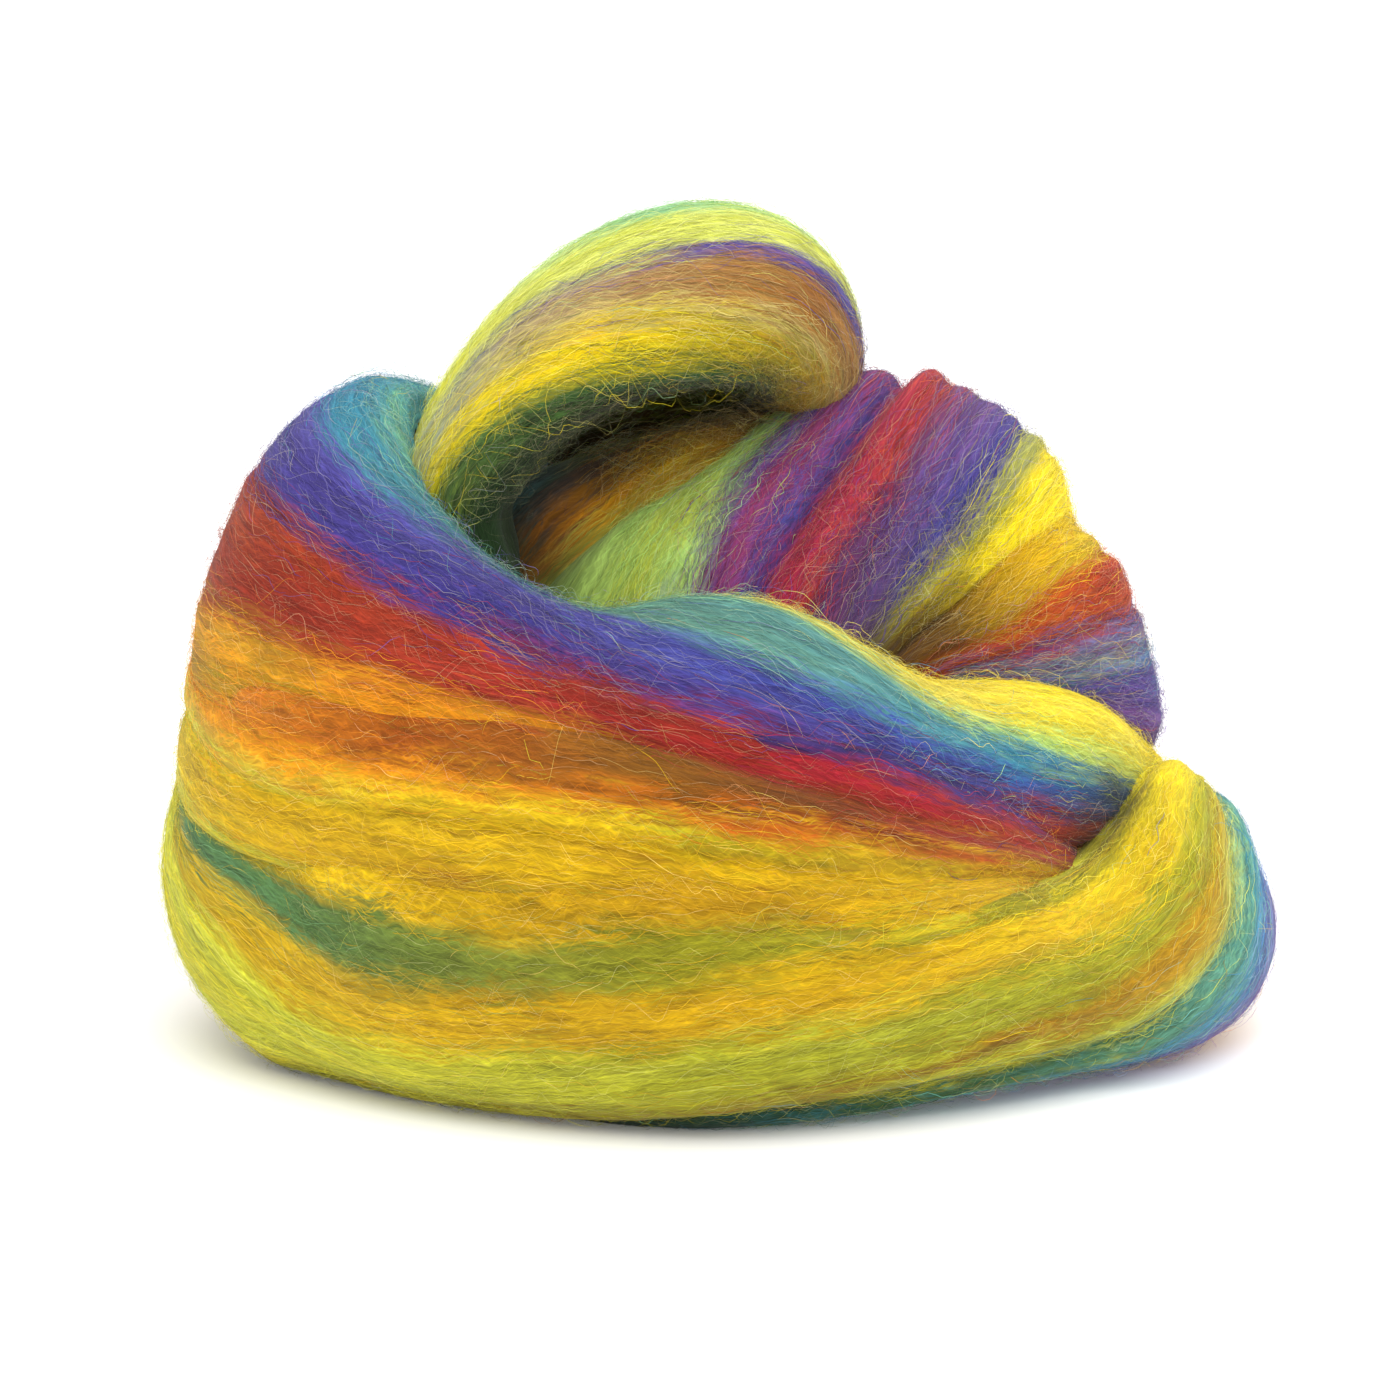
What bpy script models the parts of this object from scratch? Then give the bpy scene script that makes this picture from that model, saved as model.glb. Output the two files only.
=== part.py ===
"""Wool roving: a loosely wound bundle of combed, variegated wool top.

The bundle is one soft solid.  Its form is the union of the turns of the
unspun rope (the "strands") and the packed wool behind them.  Each strand is a
flattened tube whose cross-sections are listed in a short table, one row for
each section: the two edges of the flattened band and how far it swells
outwards and inwards between them.  All table values are millimetres.

Frame: +X right, +Y away from the front, +Z up; origin bottom centre.
"""
import bpy
import bmesh
import math
import numpy as np

# ------------------------------------------------------------ driving sizes
MM = 0.001                # table unit in metres
CENTRE_X = 1.7            # table x of the bundle's middle
CENTRE_Y = 9.4            # table y of the bundle's middle
SQUARENESS = 2.2          # 2 = elliptical section, more = fuller shoulders
RING_POINTS = 36          # points round each section of a strand
STEP = 3.0                # spacing of the sections along a strand
FELT_CELL = 1.9           # cell size at which the turns felt into one solid
RELAX_PASSES = 8          # smoothing passes on the joined solid
FACE_BUDGET = 6400        # triangles kept on the finished solid
SINK = 0.8                # how far the turns press into their flat base

COLUMNS = ("section", "edge_a", "edge_b", "out", "in")

# Front upper turn: rises over the left crest, crosses the front downwards to
# the right and tucks under the right-hand wrap.
UPPER_BAND = (
    ("s00", (30, 42, 58), (34, 50, 30), 7, 7),
    ("s01", (-6, 44, 78), (-10, 56, 38), 9, 8),
    ("s02", (-37, 33, 93), (-53, 42, 44), 9.5, 8),
    ("s03", (-46, 14, 98), (-74, 12, 45.5), 11.5, 8),
    ("s04", (-43, 4, 87.5), (-65, -8, 47.5), 13, 8),
    ("s05", (-35.5, -1, 77), (-51, -20, 48), 13, 8),
    ("s06", (-25.5, -5, 69.5), (-33, -28, 46.5), 11, 8),
    ("s07", (-14, -8, 67), (-16.5, -33, 44.5), 11, 8),
    ("s08", (-0.5, -10, 70), (-1.5, -34, 42), 12, 8),
    ("s09", (12, -7, 66), (12.5, -31, 39), 12, 8),
    ("s10", (23.5, -1, 57.5), (25, -25, 36), 12, 8),
    ("s11", (36, 6, 55), (38, -14, 33), 11, 8),
    ("s12", (49, 15, 51.5), (50, -2, 31), 10, 8),
    ("s13", (59, 24, 44), (58.5, 10, 29.5), 8, 7),
    ("s14", (66.5, 32, 35), (64.5, 22, 28.5), 6, 6),
    ("s15", (60, 40, 34), (56, 36, 26), 5, 5),
)

# Lower turn: comes down over the left side from behind, runs along the front
# and up over the right-hand end as a wrap that tucks in behind.
LOWER_BAND = (
    ("s00", (-26, 26, 84), (-24, 42, 62), 7, 7),
    ("s01", (-48, 30, 80), (-44, 50, 52), 8, 8),
    ("s02", (-61, 26, 69), (-60, 48, 38), 9, 8),
    ("s03", (-68, 17, 58), (-70.5, 35, 23), 9.5, 9),
    ("s04", (-69, 6, 50), (-73, 18, 12), 10, 9),
    ("s05", (-65, -5, 46.5), (-66.5, -1, 3), 11, 9),
    ("s06", (-55, -16, 46.5), (-56.5, -9, 1), 11, 9),
    ("s07", (-43, -25, 47), (-38.5, -20, 0.5), 12, 9),
    ("s08", (-24.5, -32, 45.5), (-16.5, -29, 1), 12, 9),
    ("s09", (-5.5, -36, 43.5), (3, -31, 2), 12, 9),
    ("s10", (12.5, -34, 40), (21, -26, 2.5), 12, 9),
    ("s11", (28, -27, 37), (38, -19, 3), 12, 9),
    ("s12", (41, -18, 34), (53, -10, 2.5), 12, 9),
    ("s13", (50, -9, 33), (67, -4, 3.5), 11, 9),
    ("s14", (55, -3, 34.5), (77, 8, 6), 10.5, 9),
    ("s15", (59, 4, 36), (82, 18, 12.5), 10, 9),
    ("s16", (61.5, 11, 36.5), (81, 27, 18), 8.5, 8),
    ("s17", (64.5, 20, 34.5), (77, 35, 21), 7, 7),
    ("s18", (56, 33, 36), (66, 45, 15), 8, 7),
    ("s19", (42, 38, 40), (48, 51, 8), 10, 8),
    ("s20", (20, 34, 40), (22, 46, 6), 9, 8),
)

# Back ring: the low turn that runs round the back on the table.
BACK_RING = (
    ("s00", (46, 6, 32), (48, 8, 8), 8, 8),
    ("s01", (58, 24, 36), (62, 28, 3), 9, 9),
    ("s02", (46, 40, 41), (50, 46, 2), 10, 9),
    ("s03", (18, 47, 46), (20, 56, 1), 11, 9),
    ("s04", (-16, 48, 47), (-20, 55, 1), 11, 9),
    ("s05", (-46, 40, 42), (-50, 42, 1), 11, 9),
    ("s06", (-62, 24, 34), (-65, 28, 1), 9, 9),
    ("s07", (-60, 4, 28), (-62, 8, 2), 8, 8),
)

# Back turn: closes the pocket behind the arch.
BACK_TURN = (
    ("s00", (-50, 34, 56), (-52, 38, 36), 9, 9),
    ("s01", (-42, 37, 88), (-46, 44, 56), 9, 9),
    ("s02", (-22, 39, 106), (-25, 50, 70), 9, 9),
    ("s03", (2, 41, 109), (0, 52, 74), 9, 9),
    ("s04", (20, 43, 98), (20, 52, 64), 9, 8),
    ("s05", (36, 42, 74), (30, 50, 44), 8, 8),
)

# Fan: wool spreading up from behind the front turn, over the back crest.
FAN = (
    ("s00", (-32, 8, 53), (19, 2, 45), 8, 8),
    ("s01", (-26, 9, 68), (24, 4, 58), 9, 8),
    ("s02", (-14.5, 15, 77.5), (33.5, 9, 64.5), 11, 8),
    ("s03", (0, 22, 86.5), (43.5, 16, 71), 12.5, 8),
    ("s04", (14, 30, 92.5), (51.5, 25, 76), 12.5, 8),
    ("s05", (18, 46, 80), (52, 41, 66), 11, 8),
    ("s06", (12, 50, 60), (50, 48, 46), 10, 8),
    ("s07", (8, 44, 38), (46, 42, 30), 9, 7),
    ("s08", (8, 32, 24), (42, 30, 18), 7, 6),
)

# Side fan: the smaller lobe to the right of the fan.
SIDE_FAN = (
    ("s00", (18, 8, 50.5), (29.5, 6, 47), 7, 7),
    ("s01", (24.5, 8, 58), (34, 8, 52.5), 8, 7),
    ("s02", (34.5, 15, 65), (46, 14, 49), 9, 7),
    ("s03", (44, 22, 70.5), (56.5, 20, 44.5), 8.5, 7),
    ("s04", (50.5, 30, 72), (62.5, 28, 39.5), 8, 7),
    ("s05", (50, 41, 61), (62, 39, 43), 8.5, 7),
    ("s06", (47, 42, 42), (60, 38, 30), 9, 6),
    ("s07", (38, 34, 28), (50, 30, 20), 7, 6),
)

# Top loop: the turn that stands up as an arch over a dark pocket.
TOP_LOOP = (
    ("s00", (-37.5, 24, 60), (-27.5, 8, 59.5), 6, 6),
    ("s01", (-40, 22, 76), (-33, 4, 71.5), 7, 7),
    ("s02", (-40.5, 22, 87), (-36, 0, 82.5), 8, 8),
    ("s03", (-32.5, 25, 99.5), (-29.5, -4, 94), 9, 9),
    ("s04", (-22, 28, 110), (-19.5, -6, 101), 10.5, 9),
    ("s05", (-9.5, 32, 117), (-6.5, -6, 104.5), 11.5, 9),
    ("s06", (3, 34, 117.5), (4.5, -2, 104), 11.5, 9),
    ("s07", (11, 35, 112), (10, 6, 100.5), 10, 8),
    ("s08", (14.5, 36, 103), (11, 14, 96.5), 9, 8),
    ("s09", (14, 36, 93.5), (9.5, 20, 92.5), 7, 7),
    ("s10", (7.5, 37, 87.5), (4.5, 26, 89), 6, 6),
)

# Inner strand: the turn seen under the arch.
INNER_STRAND = (
    ("s00", (-33, 22, 66.5), (-25.5, 10, 60), 7, 7),
    ("s01", (-27.5, 24, 76.5), (-19, 12, 67), 8, 7),
    ("s02", (-18, 26, 83.5), (-10, 14, 73.5), 9, 7),
    ("s03", (-5.5, 28, 88), (0.5, 16, 78.5), 9, 7),
    ("s04", (6.5, 30, 90.5), (10.5, 18, 82.5), 8, 7),
    ("s05", (17, 32, 94), (19.5, 20, 86.5), 8, 7),
)


# Packed wool inside the turns: centre and half-sizes of rounded masses.
PACKED_WOOL = (
    ("heart", (-4, 10, 33), (60, 36, 38)),
    ("underside", (-4, 10, 12), (66, 42, 18)),
    ("left_heart", (-34, 16, 60), (30, 22, 34)),
    ("shoulder", (8, 28, 58), (34, 22, 24)),
    ("pocket_back", (-4, 44, 88), (30, 9, 20)),
)

STRANDS = (
    ("upper_band", UPPER_BAND),
    ("lower_band", LOWER_BAND),
    ("fan", FAN),
    ("side_fan", SIDE_FAN),
    ("top_loop", TOP_LOOP),
    ("inner_strand", INNER_STRAND),
    ("back_ring", BACK_RING),
    ("back_turn", BACK_TURN),
)

WOOL_COLOUR = (0.78, 0.56, 0.06, 1.0)     # the golden yellow that shows most


# ------------------------------------------------------------------ helpers
def natural_spline(rows, count):
    """Sample a natural cubic spline through the rows at count even steps."""
    rows = np.asarray(rows, float)
    m = len(rows)
    a = np.zeros((m, m))
    rhs = np.zeros_like(rows)
    a[0, 0] = a[-1, -1] = 1.0
    for i in range(1, m - 1):
        a[i, i - 1:i + 2] = (1.0, 4.0, 1.0)
        rhs[i] = 6.0 * (rows[i + 1] - 2.0 * rows[i] + rows[i - 1])
    bend = np.linalg.solve(a, rhs)
    t = np.linspace(0, m - 1, count)
    k = np.minimum(t.astype(int), m - 2)
    f = (t - k)[:, None]
    g = 1.0 - f
    return (g * rows[k] + f * rows[k + 1]
            + ((g ** 3 - g) * bend[k] + (f ** 3 - f) * bend[k + 1]) / 6.0)


def strand_rings(table):
    """Rings of points (sections x RING_POINTS x 3, mm) of one strand."""
    rows = [tuple(r[1]) + tuple(r[2]) + (r[3], r[4]) for r in table]
    mid = [[(r[0] + r[3]) / 2, (r[1] + r[4]) / 2, (r[2] + r[5]) / 2] for r in rows]
    length = sum(math.dist(p, q) for p, q in zip(mid, mid[1:]))
    s = natural_spline(rows, max(8, int(length / STEP)))
    edge_a, edge_b, out, inn = s[:, :3], s[:, 3:6], s[:, 6], s[:, 7]
    centre = (edge_a + edge_b) / 2
    half = (edge_a - edge_b) / 2
    along = np.gradient(centre, axis=0)
    along /= np.linalg.norm(along, axis=1, keepdims=True)
    across = half / np.linalg.norm(half, axis=1, keepdims=True)
    normal = np.cross(along, across)
    normal /= np.linalg.norm(normal, axis=1, keepdims=True)
    turn = np.linspace(0, 2 * math.pi, RING_POINTS, endpoint=False)
    c, d = np.cos(turn), np.sin(turn)
    e = 2.0 / SQUARENESS
    c = np.sign(c) * np.abs(c) ** e
    d = np.sign(d) * np.abs(d) ** e
    swell = np.where(d[None, :] >= 0, out[:, None], inn[:, None]) * d[None, :]
    return (centre[:, None] + c[None, :, None] * half[:, None]
            + swell[..., None] * normal[:, None])


def add_tube(bm, rings):
    """Close the rings into a tube with rounded ends."""
    first, last = rings[0].mean(0), rings[-1].mean(0)
    grid = [[bm.verts.new(p * MM) for p in ring] for ring in rings]
    n = len(grid[0])
    for a, b in zip(grid, grid[1:]):
        for j in range(n):
            bm.faces.new((a[j], a[(j + 1) % n], b[(j + 1) % n], b[j]))
    start, end = bm.verts.new(first * MM), bm.verts.new(last * MM)
    for j in range(n):
        bm.faces.new((grid[0][(j + 1) % n], grid[0][j], start))
        bm.faces.new((grid[-1][j], grid[-1][(j + 1) % n], end))


def add_mass(bm, centre, half):
    """A rounded mass of packed wool."""
    made = bmesh.ops.create_icosphere(bm, subdivisions=3, radius=1.0)
    for v in made["verts"]:
        v.co = [(c + h * x) * MM for c, h, x in zip(centre, half, v.co)]


def evaluated(obj):
    """A new mesh of the object as its modifiers leave it."""
    graph = bpy.context.evaluated_depsgraph_get()
    return bpy.data.meshes.new_from_object(obj.evaluated_get(graph))


def apply_modifier(obj, kind, **settings):
    mod = obj.modifiers.new(kind.lower(), kind)
    for name, value in settings.items():
        setattr(mod, name, value)
    mesh = evaluated(obj)
    obj.modifiers.clear()
    old, obj.data = obj.data, mesh
    bpy.data.meshes.remove(old)


def keep_outer_shell(mesh):
    """Drop every shell but the one with the most vertices."""
    bm = bmesh.new()
    bm.from_mesh(mesh)
    bm.verts.ensure_lookup_table()
    seen, shells = set(), []
    for v in bm.verts:
        if v.index in seen:
            continue
        stack, shell = [v], []
        seen.add(v.index)
        while stack:
            u = stack.pop()
            shell.append(u)
            for edge in u.link_edges:
                w = edge.other_vert(u)
                if w.index not in seen:
                    seen.add(w.index)
                    stack.append(w)
        shells.append(shell)
    shells.sort(key=len)
    for shell in shells[:-1]:
        bmesh.ops.delete(bm, geom=shell, context="VERTS")
    bm.to_mesh(mesh)
    bm.free()


def relax(mesh, passes):
    """Even out the skin, with a push back that keeps its volume."""
    bm = bmesh.new()
    bm.from_mesh(mesh)
    for _ in range(passes):
        for amount in (0.5, -0.52):
            moved = []
            for v in bm.verts:
                near = [e.other_vert(v).co for e in v.link_edges]
                mean = sum(near[1:], near[0].copy()) / len(near)
                moved.append(v.co + (mean - v.co) * amount)
            for v, co in zip(bm.verts, moved):
                v.co = co
    bm.to_mesh(mesh)
    bm.free()


# -------------------------------------------------------------------- model
for old in list(bpy.data.objects):
    bpy.data.objects.remove(old, do_unlink=True)

bm = bmesh.new()
for _, table in STRANDS:
    add_tube(bm, strand_rings(table))
for _, centre, half in PACKED_WOOL:
    add_mass(bm, centre, half)
bmesh.ops.translate(bm, verts=bm.verts, vec=(-CENTRE_X * MM, -CENTRE_Y * MM, -SINK * MM))
bmesh.ops.recalc_face_normals(bm, faces=bm.faces)
mesh = bpy.data.meshes.new("roving")
bm.to_mesh(mesh)
bm.free()

roving = bpy.data.objects.new("roving", mesh)
bpy.context.collection.objects.link(roving)

# the turns felt together into one solid
apply_modifier(roving, "REMESH", mode="VOXEL", voxel_size=FELT_CELL * MM,
               adaptivity=0.0)
keep_outer_shell(roving.data)
relax(roving.data, RELAX_PASSES)
apply_modifier(roving, "TRIANGULATE")
apply_modifier(roving, "DECIMATE", decimate_type="COLLAPSE",
               ratio=FACE_BUDGET / len(roving.data.polygons))
keep_outer_shell(roving.data)

# the bundle lies on a small flat: everything under z = 0 is cut away
table_cut = bpy.data.meshes.new("table_cut")
bm = bmesh.new()
bmesh.ops.create_cube(bm, size=1.0)
for v in bm.verts:
    v.co = (v.co.x * 0.4, v.co.y * 0.4, v.co.z * 0.05 - 0.025)
bm.to_mesh(table_cut)
bm.free()
cutter = bpy.data.objects.new("table_cut", table_cut)
bpy.context.collection.objects.link(cutter)
cutter.hide_render = True
cutter.display_type = "WIRE"
cut = roving.modifiers.new("flat_base", "BOOLEAN")
cut.operation = "DIFFERENCE"
cut.solver = "EXACT"
cut.object = cutter

roving.data.shade_smooth()
wool = bpy.data.materials.new("dyed_wool")
wool.use_nodes = True
shader = wool.node_tree.nodes["Principled BSDF"]
shader.inputs["Base Color"].default_value = WOOL_COLOUR
shader.inputs["Roughness"].default_value = 0.9
shader.inputs["Metallic"].default_value = 0.0
roving.data.materials.clear()
roving.data.materials.append(wool)
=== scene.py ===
"""Wool roving: a loosely wound bundle of combed, variegated wool top.

Every turn of the unspun rope is a skin of felted locks with loose fibres laid
over it along the flow of the wool.  The dye runs along the rope in stripes;
each stripe's path across a turn is one row of a short table, and both the
colours and the direction of the fibres are read from it.

Frame: metres, +X right, +Y away from the front, +Z up, origin bottom centre.
"""
import math
import bpy
import numpy as np
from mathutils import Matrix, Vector
from mathutils.bvhtree import BVHTree


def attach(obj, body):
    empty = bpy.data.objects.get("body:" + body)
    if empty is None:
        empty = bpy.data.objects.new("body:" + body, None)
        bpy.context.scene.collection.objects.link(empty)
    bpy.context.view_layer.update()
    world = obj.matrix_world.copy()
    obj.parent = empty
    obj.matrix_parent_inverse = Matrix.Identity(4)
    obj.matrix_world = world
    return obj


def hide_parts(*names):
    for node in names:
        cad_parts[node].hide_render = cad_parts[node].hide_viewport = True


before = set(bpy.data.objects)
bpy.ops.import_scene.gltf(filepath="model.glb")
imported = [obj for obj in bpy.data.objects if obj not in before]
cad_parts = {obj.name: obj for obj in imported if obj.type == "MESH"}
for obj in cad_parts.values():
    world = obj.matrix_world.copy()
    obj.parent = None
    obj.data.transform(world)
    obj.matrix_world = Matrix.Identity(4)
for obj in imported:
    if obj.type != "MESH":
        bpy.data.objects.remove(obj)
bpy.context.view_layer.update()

MM = 0.001
SHIFT = np.array((1.7, 9.4, 0.8))     # table millimetres to the bundle's frame
SQUARENESS = 2.2

# ------------------------------------------------------------------ dye names
DYES = {
    "teal": (50, 138, 166), "dteal": (28, 88, 108), "sky": (62, 132, 196),
    "blue": (58, 80, 162), "indigo": (54, 48, 126), "violet": (92, 76, 156),
    "purple": (118, 66, 134), "mauve": (144, 94, 164), "magenta": (146, 52, 104),
    "crimson": (172, 22, 48), "red": (178, 48, 28), "vermilion": (218, 88, 38),
    "orange": (236, 134, 16), "rust": (178, 82, 14), "brown": (146, 92, 16),
    "tan": (206, 182, 108), "amber": (238, 164, 12), "gold": (224, 182, 4),
    "yellow": (248, 224, 20), "lime": (202, 206, 60), "olive": (160, 156, 22),
    "straw": (224, 204, 76), "sea": (98, 148, 128), "ink": (42, 32, 92), "pale": (224, 230, 116), "mint": (136, 200, 150), "leaf": (180, 218, 112),
    "green": (84, 122, 60), "dgreen": (46, 84, 40), "slate": (112, 128, 146),
    "mist": (140, 156, 190), "brick": (150, 40, 22), "plum": (84, 44, 96),
    # the near-black olive on the next line is no dye: it is painted shade, used in folds, the hollow and low near the
    # floor
    "dark": (44, 46, 28), "umber": (84, 52, 14),
    "ochre": (194, 148, 10), "rose": (180, 62, 90),
}
CREAM = (240, 230, 176)

# ----------------------------------------------------- the turns of the rope
# (section, edge a, edge b, swell outwards, swell inwards), millimetres
UPPER_BAND = (
    ("s00", (30, 42, 58), (34, 50, 30), 7, 7),
    ("s01", (-6, 44, 78), (-10, 56, 38), 9, 8),
    ("s02", (-37, 33, 93), (-52, 42, 46), 11.5, 8),
    ("s03", (-48, 14, 97.5), (-70, 13, 47), 14.3, 11),
    ("s04", (-43.5, 4, 87.5), (-65, -8, 47.5), 13.5, 8),
    ("s05", (-35.5, -1, 77), (-51, -20, 48), 13, 8),
    ("s06", (-25.5, -5, 69.5), (-33, -28, 46.5), 11, 8),
    ("s07", (-14, -8, 67), (-16.5, -33, 44.5), 11, 8),
    ("s08", (-0.5, -10, 70), (-1.5, -34, 42), 12, 8),
    ("s09", (12, -7, 66), (12.5, -31, 39), 12, 8),
    ("s10", (23.5, -1, 57.5), (25, -25, 36), 12, 8),
    ("s11", (36, 6, 55), (38, -14, 33), 11, 8),
    ("s12", (49, 15, 51.5), (50, -2, 31), 10, 8),
    ("s13", (59, 24, 44), (58.5, 10, 29.5), 8, 7),
    ("s14", (66.5, 32, 35), (64.5, 22, 28.5), 6, 6),
    ("s15", (60, 40, 34), (56, 36, 26), 5, 5),
)
LOWER_BAND = (
    ("s00", (-26, 26, 84), (-24, 42, 62), 7, 7),
    ("s01", (-48, 30, 80), (-44, 50, 52), 8, 8),
    ("s02", (-61, 26, 69), (-60, 48, 38), 9, 8),
    ("s03", (-67.5, 17, 56), (-66, 35, 23), 9.5, 9),
    ("s04", (-69.5, 6, 47), (-69, 17, 10), 12.5, 9),
    ("s05", (-66.5, -5, 45), (-63.5, -1, 2), 12, 9),
    ("s06", (-55, -16, 46.5), (-56.5, -9, 1), 11, 9),
    ("s07", (-43, -25, 47), (-38.5, -20, 0.5), 12, 9),
    ("s08", (-24.5, -32, 45.5), (-16.5, -29, 1), 12, 9),
    ("s09", (-5.5, -36, 43.5), (3, -31, 2), 12, 9),
    ("s10", (12.5, -34, 40), (21, -26, 2.5), 12, 9),
    ("s11", (28, -27, 37), (38, -19, 3), 12, 9),
    ("s12", (41, -18, 34), (53, -10, 2.5), 12, 9),
    ("s13", (50, -9, 33), (67, -4, 3.5), 11, 9),
    ("s14", (55.5, -2.5, 37), (77, 8, 6), 10.5, 9),
    ("s15", (60, 4.5, 40.5), (81, 18, 12), 8.5, 9),
    ("s16", (64, 12, 41.5), (79, 27, 17), 7, 8),
    ("s17", (66, 21, 38), (74.5, 35, 20), 6, 7),
    ("s18", (56, 33, 36), (66, 45, 15), 8, 7),
    ("s19", (42, 38, 40), (48, 51, 8), 10, 8),
    ("s20", (20, 34, 40), (22, 46, 6), 9, 8),
)
BACK_RING = (
    ("s00", (46, 6, 32), (48, 8, 8), 8, 8),
    ("s01", (58, 24, 36), (62, 28, 3), 9, 9),
    ("s02", (46, 40, 41), (50, 46, 2), 10, 9),
    ("s03", (18, 47, 46), (20, 56, 1), 11, 9),
    ("s04", (-16, 48, 47), (-20, 55, 1), 11, 9),
    ("s05", (-46, 40, 42), (-50, 42, 1), 11, 9),
    ("s06", (-62, 24, 34), (-65, 28, 1), 9, 9),
    ("s07", (-60, 4, 28), (-62, 8, 2), 8, 8),
)
BACK_TURN = (
    ("s00", (-50, 34, 56), (-52, 38, 36), 9, 9),
    ("s01", (-42, 37, 88), (-46, 44, 56), 9, 9),
    ("s02", (-22, 39, 106), (-25, 50, 70), 9, 9),
    ("s03", (2, 41, 109), (0, 52, 74), 9, 9),
    ("s04", (20, 43, 98), (20, 52, 64), 9, 8),
    ("s05", (37, 36, 70), (34, 43, 50), 6, 6),
)
FAN = (
    ("s00", (-32, 8, 53), (19, 2, 45), 8, 8),
    ("s01", (-26, 9, 68), (24, 4, 58), 9, 8),
    ("s02", (-14.5, 15, 77.5), (33.5, 9, 64.5), 11, 8),
    ("s03", (0, 22, 86.5), (43.5, 16, 71), 12.5, 8),
    ("s04", (14, 30, 92.5), (51.5, 25, 76), 12.5, 8),
    ("s05", (18, 46, 80), (52, 41, 66), 11, 8),
    ("s06", (12, 50, 60), (50, 48, 46), 10, 8),
    ("s07", (8, 44, 38), (46, 42, 30), 9, 7),
    ("s08", (8, 32, 24), (42, 30, 18), 7, 6),
)
SIDE_FAN = (
    ("s00", (18, 8, 50.5), (29.5, 6, 47), 7, 7),
    ("s01", (24, 6.5, 59.5), (34, 8, 52.5), 8, 7),
    ("s02", (33.5, 11, 68.5), (46, 14, 49), 9, 7),
    ("s03", (42.5, 16.5, 76), (57.5, 20, 44.5), 9, 7),
    ("s04", (51, 27.5, 75.5), (64, 28, 39.5), 8.5, 7),
    ("s05", (50, 41, 61), (62, 39, 43), 8.5, 7),
    ("s06", (47, 42, 42), (60, 38, 30), 9, 6),
    ("s07", (38, 34, 28), (50, 30, 20), 7, 6),
)
TOP_LOOP = (
    ("s00", (-37.5, 24, 60), (-27.5, 8, 59.5), 6, 6),
    ("s01", (-40, 22, 76), (-33, 4, 71.5), 7, 7),
    ("s02", (-40.5, 22, 87), (-36, 0, 82.5), 8, 8),
    ("s03", (-32.5, 25, 99.5), (-29.5, -4, 94), 9, 9),
    ("s04", (-22, 28, 110), (-19.5, -6, 101), 10.5, 9),
    ("s05", (-9.5, 32, 117), (-6.5, -6, 104.5), 11.5, 9),
    ("s06", (3, 34, 117.5), (4.5, -2, 104), 11.5, 9),
    ("s07", (11, 35, 112), (10, 6, 100.5), 10, 8),
    ("s08", (14.5, 36, 103), (11, 14, 96.5), 9, 8),
    ("s09", (14, 36, 93.5), (9.5, 20, 92.5), 7, 7),
    ("s10", (7.5, 37, 87.5), (4.5, 26, 89), 6, 6),
)
INNER_STRAND = (
    ("s00", (-35, 20, 70), (-25.5, 10, 60), 7, 7),
    ("s01", (-31, 21, 82), (-19, 12, 67), 8, 7),
    ("s02", (-19, 25, 85), (-10, 14, 73.5), 9, 7),
    ("s03", (-5.5, 28, 87.5), (0.5, 16, 78.5), 9, 7),
    ("s04", (6.5, 30, 88.5), (10.5, 18, 82.5), 8, 7),
    ("s05", (17, 32, 94), (19.5, 20, 86.5), 8, 7),
)
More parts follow.
